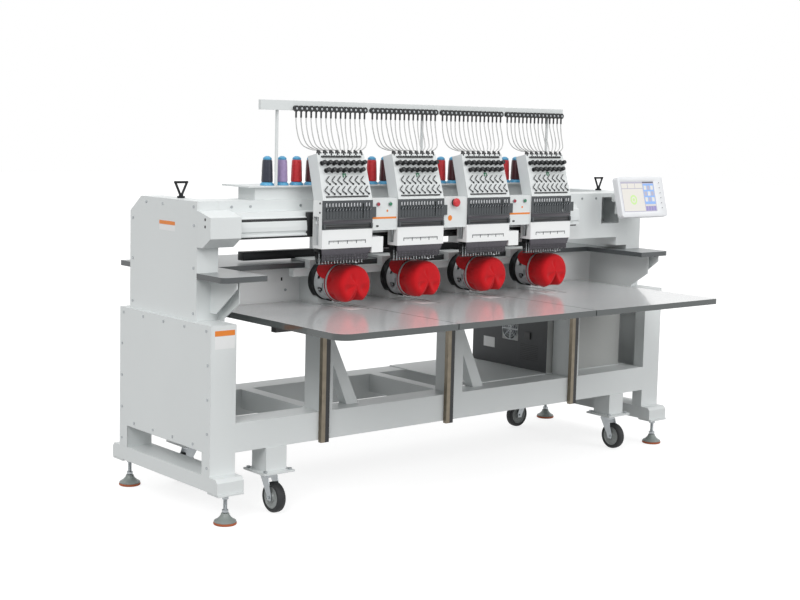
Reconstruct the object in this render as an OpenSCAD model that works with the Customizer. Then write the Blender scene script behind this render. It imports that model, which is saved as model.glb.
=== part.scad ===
// Four-head embroidery machine on a steel stand: fifteen-needle heads that share a
// colour-change carriage, a cap drive with four cap rings, a lower table on vertical slides,
// an upper table around the columns, a thread stand and a tilting screen.
// Millimetres, Z up. In the layout values Y = 0 is the front face of the stand's posts.

/* [Stand] */
// Length over the two end frames
machine_w = 2680; // [2640:10:2800]
// Depth of the stand over its posts
stand_d = 700; // [680:10:740]
// Post width along the machine
post_w = 120; // [100:5:120]
// Post depth
post_d = 60; // [50:5:80]
// Height of the stand's top
stand_top = 782; // [778:1:784]
// Underside of the sled beams above the floor
sled_z = 128; // [120:1:135]
// Height of the sled beams
sled_h = 60; // [50:5:70]
// Reach of the sled beams past the posts
sled_over = 58; // [50:1:70]
// Underside of the long beams
beam_z = 272; // [268:1:280]
// Height of the long beams
beam_h = 117; // [110:1:120]
// Depth of the long beams
beam_d = 115; // [100:5:120]
// Sheet thickness of covers and panels
sheet = 3; // [2:0.5:4]
// Distance of the casters' centres from the stand's ends
caster_inset = 316; // [300:2:330]
// Caster wheel diameter
wheel_dia = 125; // [110:5:130]
// Caster wheel width
wheel_w = 38; // [30:2:44]
// Trail from the swivel axis to the wheel axle
caster_trail = 37; // [30:1:42]
// Height of the caster's top plate
caster_h = 165; // [155:1:170]
// Levelling foot radius
foot_r = 46; // [38:1:50]

/* [Upper frame] */
// Distance of the columns, upper table and covers from the stand's ends
top_inset = 22; // [15:1:30]
// Column width along the machine
column_w = 100; // [90:5:110]
// Front face of columns and head beam
column_y = 140; // [130:1:150]
// Back face of the columns
column_back = 657; // [640:1:665]
// Top of columns and head beam
beam_top = 1255; // [1250:1:1260]
// Underside of the head beam
head_beam_z = 1035; // [1030:1:1060]
// Depth of the head beam
head_beam_d = 145; // [120:5:160]
// Top of the upper table
upper_z = 973; // [972:1:974]
// Thickness of the upper table
upper_t = 22; // [18:1:24]
// Width of the upper table's side arms
arm_table_w = 204; // [180:2:220]
// Front edge of the upper table's side arms
upper_front = -52; // [-80:1:-40]
// Front edge of the upper table's back plate
upper_mid = 306; // [302:1:312]
// Back edge of the upper table
upper_back = 735; // [700:5:740]

/* [Lower table] */
// Top of the lower table at its low position
lower_z = 799; // [797:1:801]
// Thickness of the lower table
lower_t = 25; // [18:1:28]
// Front edge of the lower table
lower_front = -522; // [-560:2:-480]
// Gap between neighbouring leaves
leaf_gap = 4; // [2:0.5:6]
// Play between the lower table and the upper table's arms
leaf_play = 4; // [3:0.5:8]
// Half width of the slots for the sewing arms
slot_half = 52; // [48:1:58]

/* [Heads] */
// Distance between sewing heads
head_pitch = 400; // [380:5:410]
// Distance between needles
needle_pitch = 16; // [14:0.5:16]
// Needles from the middle one to the one in use
needle_shift = 5; // [0:1:7]
// Half width of a needle case
case_half = 131; // [128:1:134]
// Depth of a needle case
case_d = 64; // [64:1:66]
// Distance of the needle line behind the case front
needle_y = 56; // [54:0.5:57]
// Underside of the needle cases
case_z = 1060; // [1058:1:1064]
// Top of the needle cases
case_top = 1257; // [1254:1:1260]
// Needle bar radius
bar_r = 3.5; // [3:0.1:3.6]
// Height of the tension boxes
tension_h = 190; // [180:2:200]
// Lean of the tension boxes to the back, over their height
tension_lean = 58; // [50:1:60]

/* [Cap drive] */
// Height of the cap rings' axis
ring_z = 899; // [898:1:900]
// Outer radius of a driver ring
ring_r = 84; // [83:0.5:85]
// Radius of the crown of a cap
cap_r = 83; // [82:0.5:83.5]
// Front end of a cap's crown
cap_front = 30; // [26:1:31]
// Rim of a cap's crown, on the ring's band
cap_end = 150; // [142:1:160]
// Rounding of a crown's front
cap_edge = 30; // [24:1:32]
// Wall of a cap
cap_wall = 2.2; // [1.5:0.1:2.4]

/* [Thread stand] */
// Top of the thread tray
tray_z = 1312; // [1308:1:1316]
// Top of the thread tree's bar
tree_top = 1659; // [1620:2:1680]
// Distance between thread cones along the machine
cone_pitch = 74; // [70:1:76]

/* [Hidden] */

white = "#e4e5e3";
dark = "#3c4043";
black = "#1b1c1e";
zinc = "#a9adaf";
red = "#c0141c";

half = machine_w / 2;
foot_y = [-25, stand_d + 18];
y_mid = (lower_front + foot_y[1] + foot_r) / 2;
fit = 0.05;
seat = 0.3;
weld = 0.2;
sled_top = sled_z + sled_h;
beam_zt = beam_z + beam_h;
column_out = half - top_inset;
column_in = column_out - column_w;
table_in = column_out - arm_table_w;
leaf_x = table_in - leaf_play;
arm_x = [for (k = [0:3]) (k - 1.5) * head_pitch];
case_x = [for (x = arm_x) x - needle_shift * needle_pitch];
panel_x = [for (k = [0:2]) case_x[k] + head_pitch / 2];
panel_half = head_pitch / 2 - case_half - seat;
rail_x = [-791, -100, 695];
upright_x = [rail_x[0] - 9, rail_x[1] + 31, rail_x[2] - 9];
rail_half = 20;
rail_d = 20;
upright_w = 60;
upright_top = lower_z - lower_t - 14;
seams = [-522, 278];
bed_y = 376;
link_d = 16;
casting_y = case_d + seat + link_d + seat;
slot_z = [case_z + 122, case_top - 14];
lever_axis = [45, case_top - 57];
lean = atan(tension_lean / tension_h);
tension_d = 60;
tension_fall = 14;
support_y = 245;
bearing_y = [243, 262];
bore_in = 66.3;
plate_z = upper_z - 1;
hook_z = plate_z - 42;
shaft_r = 6;
post_half = 50;
caster_y = [45, stand_d - 55];
caster_pos = [[caster_inset - half, caster_y[0], -90], [half - caster_inset, caster_y[0], -90],
    [caster_inset - half, caster_y[1], 180], [half - caster_inset, caster_y[1], 180]];
shelf_t = 4;
shelf_x = 150;
cabinet = [650, 120, beam_zt + shelf_t];
cabinet_size = [520, 520, 345];
fan_pos = [cabinet[0], 373, 579];
fan_r = 50;
screen_size = [335, 35, 200];
screen_pos = [955, -62, 1150];
screen_lean = 14.5;
hinge_pos = [1140, 40, 1238];
drop_z = head_beam_z + 63;
beam_drops = [[arm_x[0] - 62, arm_x[1] + 62], [arm_x[2] - 62, column_in]];
panel_z = [1128, 1262];
panel_y = 7;
button_z = 1238;
cone_y = 190;
tray_y = [cone_y - 40, cone_y + 158];
tray_x = [-1030, 715];

// Places children in the part's frame: origin on the floor under the middle of its box
module placed() translate([0, -y_mid, 0]) children();

// A closed box tube with a wall of 5 mm
module tube(x, y, z) difference() {
    block(x, y, z);
    block([x[0] + 5, x[1] - 5], [y[0] + 5, y[1] - 5], [z[0] + 5, z[1] - 5]);
}

module both_ends() {
    children();
    mirror([1, 0, 0]) children();
}

module block(x, y, z) translate([x[0], y[0], z[0]]) cube([x[1] - x[0], y[1] - y[0], z[1] - z[0]]);

// Extrudes a Y-Z outline along X
module along_x(x0, x1) translate([x0, 0, 0]) rotate([90, 0, 90]) linear_extrude(x1 - x0) children();

// Extrudes an X-Z outline along Y
module along_y(y0, y1) translate([0, y1, 0]) rotate([90, 0, 0]) linear_extrude(y1 - y0) children();

module round_box_2d(w, h, r) {
    translate([r, 0]) square([w - 2 * r, h]);
    translate([0, r]) square([w, h - 2 * r]);
    for (x = [r, w - r], y = [r, h - r]) translate([x, y]) circle(r, $fn = 32);
}

module tube_ring(r_out, r_in, y0, y1) along_y(y0, y1) difference() {
    circle(r_out, $fn = 96);
    circle(r_in, $fn = 96);
}

module end_frame() {
    x = [half - post_w, half - sheet];
    along_x(half - post_w - 4, half)
        polygon([[-sled_over, sled_z], [-sled_over, sled_top - 14], [14 - sled_over, sled_top],
            [stand_d + sled_over - 14, sled_top], [stand_d + sled_over, sled_top - 14],
            [stand_d + sled_over, sled_z]]);
    for (y = foot_y) block([half - post_w, half - 2], [y - 40, y + 40], [sled_z - 8, sled_z - weld]);
    between = [post_d + weld, stand_d - post_d - weld];
    tube(x, [0, post_d], [sled_top + weld, stand_top]);
    tube(x, [stand_d - post_d, stand_d], [sled_top + weld, stand_top]);
    tube(x, between, [stand_top - 50, stand_top]);
    tube(x, between, [sled_top + 90, sled_top + 150]);
}

module caster_post(p) {
    tube([p[0] - post_half, p[0] + post_half], [p[1] - post_half, p[1] + post_half],
        [caster_h + 8 + weld, beam_z - weld]);
    block([p[0] - 75, p[0] + 75], [p[1] - 75, p[1] + 75], [caster_h, caster_h + 8]);
}

module upright(x0) {
    tube([x0, x0 + upright_w], [0, beam_d], [beam_zt + weld, upright_top]);
    tube([x0, x0 + upright_w], [beam_d + weld, stand_d - beam_d - weld], [beam_z + 32, beam_zt]);
}

module brace(x) {
    x0 = x + upright_w + weld;
    low = beam_zt + weld;
    along_y(60, 112) polygon([[x0, upright_top], [x0, low + 286], [x0 + 121, low], [x0 + 184, low],
        [x0 + 8, upright_top]]);
}

module stand_frame() color(white) placed() {
    both_ends() end_frame();
    inner = half - post_w - weld;
    tube([-inner, inner], [0, beam_d], [beam_z, beam_zt]);
    tube([-inner, inner], [stand_d - beam_d, stand_d], [beam_z, beam_zt]);
    for (x = upright_x) upright(x);
    for (x = [upright_x[0], upright_x[1]]) brace(x);
    for (p = caster_pos) caster_post(p);
    block([shelf_x, inner], [beam_d + weld, stand_d], [beam_zt + weld, beam_zt + shelf_t]);
}

module side_covers() color(white) placed() both_ends()
    along_x(half - sheet, half) polygon([[0, sled_top], [45, sled_top], [45, sled_top + 92],
        [stand_d - 62, sled_top + 92], [stand_d - 62, sled_top], [stand_d, sled_top],
        [stand_d, stand_top], [0, stand_top]]);

module column_outline(t) polygon([[column_y + t, stand_top], [column_back - t, stand_top],
    [column_back - t, beam_top - 65 - 0.4 * t], [column_back - 88 - 0.4 * t, beam_top - t],
    [column_y + t, beam_top - t]]);

module columns() color(white) placed() both_ends() difference() {
    along_x(column_in, column_out) column_outline(0);
    along_x(column_in + sheet, column_out - sheet) translate([0, -1]) column_outline(sheet);
}

module head_beam() color(white) placed() difference() {
    union() {
        block([-column_in, column_in], [column_y, column_y + head_beam_d], [drop_z, beam_top]);
        for (x = beam_drops) block(x, [column_y, column_y + head_beam_d], [head_beam_z, drop_z + 1]);
        block([column_in - 78, column_in], [column_y, column_y + head_beam_d],
            [head_beam_z - 42, head_beam_z]);
    }
    block([-column_in + 20, column_in - 20], [column_y + 6, column_y + head_beam_d - 6],
        [drop_z + 6, beam_top - 6]);
    for (x = beam_drops) block([x[0] + 6, x[1] - 6], [column_y + 6, column_y + head_beam_d - 6],
        [head_beam_z + 6, drop_z]);
    block([1025, 1157], [column_y - 1, column_y + 7], [1105, beam_top - 20]);
}

module rail_cover_outline() polygon([[column_y, beam_top - 45], [100, beam_top - 45],
    [96, beam_top - 65], [85, beam_top - 69], [casting_y, beam_top - 105],
    [casting_y, beam_top - 122], [87, beam_top - 127], [87, beam_top - 133],
    [casting_y, beam_top - 137], [casting_y, beam_top - 143], [column_y, beam_top - 143]]);

module end_box_outline() polygon([[44, beam_top - 141], [44, beam_top - 58],
    [column_y - 6, beam_top - 36], [column_y, beam_top - 36], [column_y, beam_top - 180],
    [column_y - 40, beam_top - 180]]);

module beam_covers() color(white) placed() {
    difference() {
        along_x(-column_out, -column_in + 44) end_box_outline();
        for (z = [beam_top - 67, beam_top - 95])
            translate([-column_out - 1, 82, z]) rotate([0, 90, 0]) cylinder(r = 6, h = 12, $fn = 32);
    }
    difference() {
        along_x(-column_in + 44, 800) rail_cover_outline();
        for (x = arm_x) block([x - 58 - seat, x + 58 + seat], [0, column_y + 1], [1000, 1300]);
    }
}

module upper_table() color(dark) placed()
    translate([0, 0, upper_z - upper_t]) linear_extrude(upper_t) difference() {
        translate([-column_out, upper_front]) square([2 * column_out, upper_back - upper_front]);
        translate([-table_in, upper_front - 1]) square([2 * table_in, upper_mid - upper_front + 1]);
        for (s = [-1, 1]) translate([s * (column_in + column_w / 2), column_y]) {
            translate([-column_w / 2 - seat, -seat])
                square([column_w + 2 * seat, column_back - column_y + 2 * seat]);
        }
        for (s = [-1, 1]) scale([s, 1]) translate([-column_out, upper_front])
            difference() {
                translate([-1, -1]) square(26);
                translate([25, 25]) circle(25, $fn = 48);
            }
    }

module inner_plate() along_x(column_in - 4, column_in) polygon([[-10, 862], [-10, upper_z - upper_t],
    [bed_y + sheet, upper_z - upper_t], [bed_y + sheet, stand_top], [93, stand_top], [93, 794]]);

module outer_gusset() along_x(column_in + 30, column_in + 34) polygon([[column_y, 812],
    [column_y, upper_z - upper_t], [-45, upper_z - upper_t], [-45, upper_z - upper_t - 26],
    [100, 812]]);

module side_plates() color(white) placed() both_ends() {
    inner_plate();
    outer_gusset();
}

module bed_panel() color(white) placed()
    block([-column_in + 4, column_in - 4], [bed_y, bed_y + sheet], [stand_top, upper_z - upper_t]);

module sewing_arm(x) difference() {
    union() {
        block([x - 44, x + 44], [support_y, bed_y], [762, ring_z + 41]);
        block([x - slot_half + 4, x + slot_half - 4], [9, support_y + 1], [lower_z - 19, lower_z - 2]);
        translate([x, 0, 0]) along_y(100, support_y) polygon([[-35, ring_z - 2], [-22, ring_z - 14],
            [22, ring_z - 14], [35, ring_z - 2], [35, ring_z + 44], [28, ring_z + 51],
            [-28, ring_z + 51], [-35, ring_z + 44]]);
        translate([x, 0, 0]) along_y(42, 100) polygon([[-30, hook_z - 28], [-18, hook_z - 38],
            [18, hook_z - 38], [30, hook_z - 28], [30, hook_z + 30], [22, hook_z + 38],
            [-22, hook_z + 38], [-30, hook_z + 30]]);
    }
    translate([x, 82, hook_z]) rotate([90, 0, 0]) cylinder(r = 26, h = 42, $fn = 64);
    translate([x, 205, hook_z]) rotate([90, 0, 0]) cylinder(r = shaft_r + fit, h = 130, $fn = 48);
}

module sewing_arms() color(white) placed() for (x = arm_x) sewing_arm(x);

module needle_plates() color(zinc) placed() for (x = arm_x) difference() {
    block([x - 21, x + 21], [46, 100], [hook_z + 38, plate_z]);
    translate([x, needle_y, hook_z + 30]) cylinder(r = 2.5, h = 20, $fn = 24);
}

module rotary_hook(k) color(zinc) placed() translate([arm_x[k], 0, hook_z]) {
    difference() {
        translate([0, 77, 0]) rotate([90, 0, 0]) cylinder(r = 24.5, h = 31, $fn = 64);
        translate([0, 68, 0]) rotate([90, 0, 0]) cylinder(r = 18, h = 32, $fn = 48);
        translate([12, 40, 12]) cube([20, 30, 20]);
    }
    translate([0, 62, 0]) rotate([90, 0, 0]) cylinder(r = 15, h = 14, $fn = 48);
    translate([0, 200, 0]) rotate([90, 0, 0]) cylinder(r = shaft_r, h = 140, $fn = 48);
}

module fan_spider() translate(fan_pos) {
    for (a = [0, 90]) rotate([a, 0, 0]) translate([0, -fan_r - 4, -3]) cube([3, 2 * fan_r + 8, 6]);
    rotate([0, 90, 0]) cylinder(r = 3, h = 22, $fn = 24);
}

module control_cabinet() color(white) placed() {
    difference() {
        translate(cabinet) cube(cabinet_size);
        translate(cabinet + [2, 2, 2]) cube(cabinet_size - [4, 4, 4]);
        translate(fan_pos - [1, 0, 0]) rotate([0, 90, 0]) cylinder(r = fan_r + 3, h = 4, $fn = 64);
    }
    fan_spider();
}

module cabinet_inlet() color(black) placed()
    block([cabinet[0] - 7, cabinet[0]], [232, 266], [543, 577]);

module cabinet_fan() color(dark) placed() translate(fan_pos + [5, 0, 0]) rotate([0, 90, 0])
    difference() {
        union() {
            cylinder(r = 17, h = 14, $fn = 48);
            for (i = [0:6]) rotate([0, 0, i * 360 / 7]) translate([14, -1.5, 3])
                rotate([30, 0, 0]) cube([fan_r - 16, 14, 2]);
        }
        translate([0, 0, -1]) cylinder(r = 3 + fit, h = 20, $fn = 24);
    }

module head_castings() color(dark) placed() for (x = arm_x) difference() {
    union() {
        block([x - 58, x + 58], [casting_y, column_y], [head_beam_z - 8, beam_top - 12]);
        block([x - 30, x + 30], [casting_y, column_y], [head_beam_z - 30, head_beam_z - 8]);
    }
    block([x - 40, x + 40], [casting_y - 1, column_y - 12], [head_beam_z - 31, head_beam_z + 30]);
}

module panel_holes(k) {
    r = k == 1 ? 8 : 5;
    xs = k == 1 ? [-4] : [-37, 29];
    for (dx = xs) translate([panel_x[k] + dx, panel_y + 20, button_z]) rotate([90, 0, 0])
        cylinder(r = r + fit, h = 30, $fn = 32);
}

module button_panels() color(white) placed() {
    for (k = [0:2]) difference() {
        block([panel_x[k] - panel_half, panel_x[k] + panel_half], [panel_y, case_d], panel_z);
        block([panel_x[k] - panel_half + sheet, panel_x[k] + panel_half - sheet],
            [panel_y + 10, case_d + 1], [panel_z[0] + sheet, panel_z[1] - sheet]);
        panel_holes(k);
    }
}

// A button: a cap in front of the panel on a stem that slides in the panel's hole
module push_button(x, stem_r, cap_rad, cap_h, gap) translate([x, 0, button_z]) {
    translate([0, panel_y + 16, 0]) rotate([90, 0, 0]) cylinder(r = stem_r, h = 16 + gap, $fn = 32);
    translate([0, panel_y - gap, 0]) rotate([90, 0, 0]) cylinder(r = cap_rad, h = cap_h, $fn = 48);
}

module emergency_stop() color(red) placed() push_button(panel_x[1] - 4, 8, 19, 14, 11);
module stop_button(k) color(red) placed() push_button(panel_x[2 * k] - 37, 5, 7.5, 5, 4);
module start_button(k) color("#1d7a4c") placed() push_button(panel_x[2 * k] + 29, 5, 7.5, 5, 4);

module thread_tray() color(zinc) placed() {
    block([tray_x[0] - 40, tray_x[1] + 60], tray_y, [tray_z - 7, tray_z]);
    block([tray_x[0], tray_x[1] + 20], [tray_y[0] + 15, column_y + head_beam_d], [beam_top, tray_z - 7]);
}

module cone(x, y) translate([x, y, tray_z]) rotate_extrude($fn = 48) polygon([[0, 0], [28, 0],
    [28, 4], [24, 10], [20.5, 12], [19, 100], [15, 106], [15, 116], [11, 120], [0, 120]]);

module thread_cones() color("#1f2a55") placed() for (k = [0:3], i = [0:4])
    cone(arm_x[k] - 354 + i * cone_pitch, cone_y);

module thread_tree() color(zinc) placed() {
    block([tray_x[0], tray_x[1]], [134, 148], [tree_top - 40, tree_top]);
    for (x = [-935, -155, 630]) {
        translate([x, 154, tray_z]) cylinder(r = 6.5, h = tree_top - 12 - tray_z, $fn = 32);
        block([x - 12, x + 12], [148, 164], [tree_top - 26, tree_top - 6]);
    }
}

module thread_guides() color(black) placed() for (x = case_x, i = [-7:7])
    translate([x + i * 25.5, 126, 0]) {
        translate([0, 8, tree_top - 32]) rotate([90, 0, 0]) cylinder(r = 12.6, h = 12, $fn = 32);
        translate([0, 2, tree_top - 69]) cylinder(r = 4, h = 38, $fn = 24);
    }

module eye() translate([half - 90, 370, beam_top]) {
    cylinder(r = 16, h = 8, $fn = 32);
    cylinder(r = 9, h = 20, $fn = 32);
    for (s = [-1, 1]) translate([s * 6, 0, 18]) rotate([0, s * 25, 0]) cylinder(r = 5, h = 50, $fn = 24);
    translate([-29, 0, 64]) rotate([0, 90, 0]) cylinder(r = 5, h = 58, $fn = 24);
    for (s = [-1, 1]) translate([s * 28, 0, 64]) sphere(5.6, $fn = 24);
}

module lifting_eyes() color(zinc) placed() both_ends() eye();

module screen_bracket() color(white) placed() {
    difference() {
        block([hinge_pos[0] - 44, hinge_pos[0] + 44], [hinge_pos[1] - 14, column_y],
            [hinge_pos[2] - 26, hinge_pos[2] + 14]);
        block([hinge_pos[0] - 30, hinge_pos[0] + 30], [hinge_pos[1] - 15, hinge_pos[1] + 26],
            [hinge_pos[2] - 27, hinge_pos[2] + 15]);
    }
    block([hinge_pos[0] - 20, column_in + 40], [column_y - 6, column_y], [1150, 1240]);
    translate(hinge_pos - [44, 0, 0]) rotate([0, 90, 0]) cylinder(r = 6, h = 88, $fn = 32);
}

module screen() color(white) placed() {
    translate(screen_pos) rotate([-screen_lean, 0, 0]) difference() {
        translate([0, screen_size[1], 0]) rotate([90, 0, 0]) linear_extrude(screen_size[1])
            round_box_2d(screen_size[0], screen_size[2], 14);
        translate([20, -1, 26]) cube([245, 2.5, 150]);
    }
    difference() {
        block([hinge_pos[0] - 29, hinge_pos[0] + 29], [-8, hinge_pos[1] + 12],
            [hinge_pos[2] - 12, hinge_pos[2] + 12]);
        translate(hinge_pos - [40, 0, 0]) rotate([0, 90, 0]) cylinder(r = 6 + fit, h = 80, $fn = 32);
    }
}

module slide_rails() color(zinc) placed() for (x = rail_x)
    block([x - rail_half, x], [-rail_d, 0], [beam_z - 10, upright_top + 6]);

module screw_x(y, z) translate([half, y, z]) rotate([0, 90, 0]) cylinder(r = 5.5, h = 2.5, $fn = 24);

module column_screw(y, z) translate([column_out, y, z]) rotate([0, 90, 0])
    cylinder(r = 5.5, h = 2.5, $fn = 24);

module beam_screw(x, z) translate([x, column_y, z]) rotate([90, 0, 0]) cylinder(r = 5.5, h = 2.5, $fn = 24);

module side_screws() {
    for (i = [0:4]) screw_x(30 + i * (stand_d - 60) / 4, stand_top - 22);
    for (y = [18, stand_d - 18], i = [0:3]) screw_x(y, stand_top - 155 - i * 135);
    for (i = [0:3]) screw_x(120 + i * (stand_d - 240) / 3, sled_top + 112);
    for (y = [column_y + 22, column_back - 22], z = [stand_top + 30, stand_top + 210, beam_top - 95])
        column_screw(y, z);
    for (y = [column_y + 25, column_back - 130, (column_y + column_back) / 2])
        column_screw(y, beam_top - 22);
    for (p = [0, 1], dx = [-60, 60], dy = [-60, 60])
        translate([half - caster_inset + dx, caster_y[p] + dy, caster_h + 8])
            cylinder(r = 9, h = 7, $fn = 6);
}

module fasteners() color(zinc) placed() {
    both_ends() side_screws();
    for (x = [-column_in + 60, -column_in + 150, -820, 880, 980]) beam_screw(x, beam_top - 24);
    for (x = arm_x, dx = [-120, 120]) translate([x + dx, bed_y, 850]) rotate([90, 0, 0])
        cylinder(r = 5.5, h = 3, $fn = 24);
}

module levelling_foot(y) translate([half - post_w / 2, y, 0]) {
    cylinder(r = foot_r, h = 9, $fn = 48);
    rotate_extrude($fn = 48) polygon([[0, 9], [foot_r - 2, 9], [foot_r - 4, 16], [22, 34], [13, 42],
        [0, 42]]);
    cylinder(r = 8, h = sled_z - 8, $fn = 32);
    translate([0, 0, sled_z - 28]) cylinder(r = 15, h = 12, $fn = 6);
}

module levelling_feet() color("#8d9491") placed() both_ends() for (y = foot_y) levelling_foot(y);

module leaf(x0, x1, r_left, r_right) difference() {
    translate([x0, lower_front]) square([x1 - x0, bed_y - 6 - lower_front]);
    for (x = arm_x) translate([x - slot_half, 5]) square([2 * slot_half, bed_y]);
    translate([x0, lower_front]) difference() {
        translate([-1, -1]) square(r_left + 1);
        translate([r_left, r_left]) circle(r_left, $fn = 64);
    }
    translate([x1, lower_front]) difference() {
        translate([-r_right, -1]) square(r_right + 1);
        translate([-r_right, r_right]) circle(r_right, $fn = 64);
    }
}

module lower_table() color("#b9bbbc") placed()
    translate([0, 0, lower_z - lower_t]) linear_extrude(lower_t) {
        leaf(-leaf_x, seams[0] - leaf_gap / 2, 60, 3);
        leaf(seams[0] + leaf_gap / 2, seams[1] - leaf_gap / 2, 3, 3);
        leaf(seams[1] + leaf_gap / 2, leaf_x, 3, 12);
    }

module table_sliders() color(black) placed() {
    for (x = rail_x) block([x + seat, x + rail_half], [-rail_d, -seat], [beam_z - 10, lower_z - lower_t]);
    block([-leaf_x + 40, leaf_x - 40], [-rail_d - 30, -rail_d], [lower_z - lower_t - 30, lower_z - lower_t]);
}

module needle_holes(x) for (i = [-7:7]) {
    translate([x + i * needle_pitch, needle_y, case_z - 1]) cylinder(r = bar_r + fit, h = 200, $fn = 24);
    translate([x + i * needle_pitch, needle_y - 13, case_z - 1]) cylinder(r = 2 + fit, h = 14, $fn = 20);
}

module needle_case(x) {
    difference() {
        block([x - case_half, x + case_half], [0, case_d], [case_z, case_top]);
        block([x - case_half + 4, x + case_half - 4], [sheet, case_d - sheet],
            [case_z + 12, case_top - 10]);
        block([x - case_half - 1, x + case_half + 1], [-1, sheet], [case_z + 78, case_top + 1]);
        block([x - case_half - 1, x + case_half + 1], [26, case_d - sheet], [case_z + 12, case_z + 130]);
        needle_holes(x);
    }
    block([x - case_half + 4, x + case_half - 4], [lever_axis[0] - 4, lever_axis[0] + 4],
        [lever_axis[1] - 40, lever_axis[1] - 30]);
}

module needle_cases() color(white) placed() {
    for (x = case_x) needle_case(x);
    for (k = [0, 2]) block([case_x[k] + case_half + weld, case_x[k] + case_half + 62], [2, 60],
        [case_z - 24, case_z + 42]);
    block([case_x[0] - 100, case_x[3] + 100], [case_d + seat, case_d + seat + link_d],
        [case_top - 100, case_top - 68]);
}

module case_covers() color(dark) placed() for (x = case_x) difference() {
    union() {
        block([x - case_half, x + case_half], [0, sheet], [case_z + 78, case_top]);
        block([x + case_half, x + case_half + 19], [0, 6], [slot_z[0] + 3, case_top - 29]);
    }
    for (i = [-7:7]) block([x + i * needle_pitch - 3, x + i * needle_pitch + 3], [-1, sheet + 1], slot_z);
}

module tension_outline(t) polygon([[t, t], [tension_lean + t, tension_h - t],
    [tension_lean + tension_d - t, tension_h - t - tension_fall], [case_d - t, t]]);

module tension_taper(t) along_y(-1, 200) polygon([[2 + t - case_half, -1],
    [case_half - 2 - t, -1], [case_half - 8 - t, tension_h + 1], [8 + t - case_half, tension_h + 1]]);

module tension_box(x) translate([x, 0, case_top]) difference() {
    intersection() {
        along_x(-case_half, case_half) tension_outline(0);
        tension_taper(0);
    }
    intersection() {
        along_x(-case_half, case_half) tension_outline(sheet);
        tension_taper(sheet);
    }
}

module tension_boxes() color(white) placed() for (x = case_x) tension_box(x);

// Puts children on a tension box's sloping face: u from its middle, v up the slope, Z outwards
module on_face(x, u, v) translate([x, 0, case_top]) rotate([-lean, 0, 0]) translate([u, 0, v])
    rotate([90, 0, 0]) children();

module tension_knob() {
    cylinder(r = 10, h = 5, $fn = 32);
    cylinder(r = 5, h = 11, $fn = 24);
    translate([0, 0, 11]) cylinder(r = 9, h = 9, $fn = 32);
}

module check_wire() {
    cylinder(r = 3, h = 3, $fn = 20);
    for (a = [-45, 45]) rotate([0, 0, a + 90]) translate([0, -1, 0]) cube([15, 2, 2]);
}

module thread_controls() color(black) placed() for (x = case_x) {
    for (i = [0:7]) on_face(x, (i - 3.5) * 30, 157) tension_knob();
    for (i = [0:6]) on_face(x, (i - 3) * 30, 126) tension_knob();
    for (i = [0:6]) on_face(x, (i - 3) * 30, 82) check_wire();
    for (i = [0:7]) on_face(x, (i - 3.5) * 30, 42) check_wire();
    on_face(x, -100, 176) cube([200, 7, 5]);
    on_face(x, -120, 8) cube([240, 6, 3]);
    for (i = [-7:7]) translate([x + i * needle_pitch, tension_lean, case_top + tension_h])
        rotate([-atan(tension_fall / tension_d), 0, 0]) translate([0, 8, 0])
            cylinder(r = 4.5, h = 14, $fn = 20);
}

module needle_bar(x) translate([x, needle_y, 0]) {
    translate([0, 0, 1020]) cylinder(r = bar_r, h = case_top - 1028, $fn = 24);
    translate([-4.5, -5, 1016]) cube([9, 10, 16]);
    translate([0, 0, 1006]) cylinder(r = 0.9, h = 12, $fn = 16);
}

module presser_foot(x) {
    translate([x, needle_y - 13, 994]) cylinder(r = 2, h = case_z - 984, $fn = 20);
    difference() {
        block([x - 5.5, x + 5.5], [needle_y - 17, needle_y + 7], [992, 994.5]);
        translate([x, needle_y, 990]) cylinder(r = 3, h = 6, $fn = 20);
    }
}

// A take-up lever on its shaft: its eye stands out of the cover's slot
module lever(x) along_x(x - 1.2, x + 1.2) translate(lever_axis) difference() {
    union() {
        circle(7, $fn = 32);
        polygon([[0, -6], [-52, 16], [-58, 24], [-52, 26], [0, 7]]);
    }
    circle(3 + fit, $fn = 24);
}

module idle_needles() color(zinc) placed() for (x = case_x) {
    for (i = [-7:7]) presser_foot(x + i * needle_pitch);
    for (i = [-7:7]) if (i != needle_shift) {
        needle_bar(x + i * needle_pitch);
        lever(x + i * needle_pitch);
    }
    translate([x - case_half + 4, lever_axis[0], lever_axis[1]]) rotate([0, 90, 0])
        cylinder(r = 3, h = 2 * case_half - 8, $fn = 24);
}

module active_needles() color(zinc) placed() for (x = arm_x) needle_bar(x);
module active_levers() color(zinc) placed() for (x = arm_x) lever(x);

// Horseshoe bearing that holds a driver ring and clears the arm's support
module ring_bearing(x) translate([x, 0, ring_z]) difference() {
    tube_ring(ring_r, bore_in, bearing_y[0], bearing_y[1]);
    block([-50, 50], [bearing_y[0] - 1, bearing_y[1] + 1], [-ring_r - 1, 0]);
}

module cap_arch(x) {
    for (s = [-1, 1]) block([x + s * 66 - 10, x + s * 66 + 10], [bearing_y[1], bearing_y[1] + 34],
        [ring_z + 20, ring_z + 88]);
    block([x - 76, x + 76], [bearing_y[1], bearing_y[1] + 34], [ring_z + 66, ring_z + 88]);
}

module cap_beam() color(zinc) placed() {
    for (x = arm_x) {
        ring_bearing(x);
        cap_arch(x);
    }
    y = [bearing_y[1], bearing_y[1] + 34];
    z = [ring_z + 20, ring_z + 52];
    block([arm_x[0] - 160, arm_x[0] - 76], y, z);
    for (k = [0:2]) block([arm_x[k] + 76, arm_x[k + 1] - 76], y, z);
    block([arm_x[3] + 76, arm_x[3] + 160], y, z);
    for (x = arm_x) block([x - 60, x + 60], [y[1], 420], [upper_z + 2, upper_z + 14]);
    block([arm_x[0] - 330, arm_x[3] + 330], [390, 430], [upper_z + 14, upper_z + 44]);
    for (x = arm_x) block([x - 60, x + 60], [396, 424], [upper_z + seat, upper_z + 2]);
}

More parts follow.
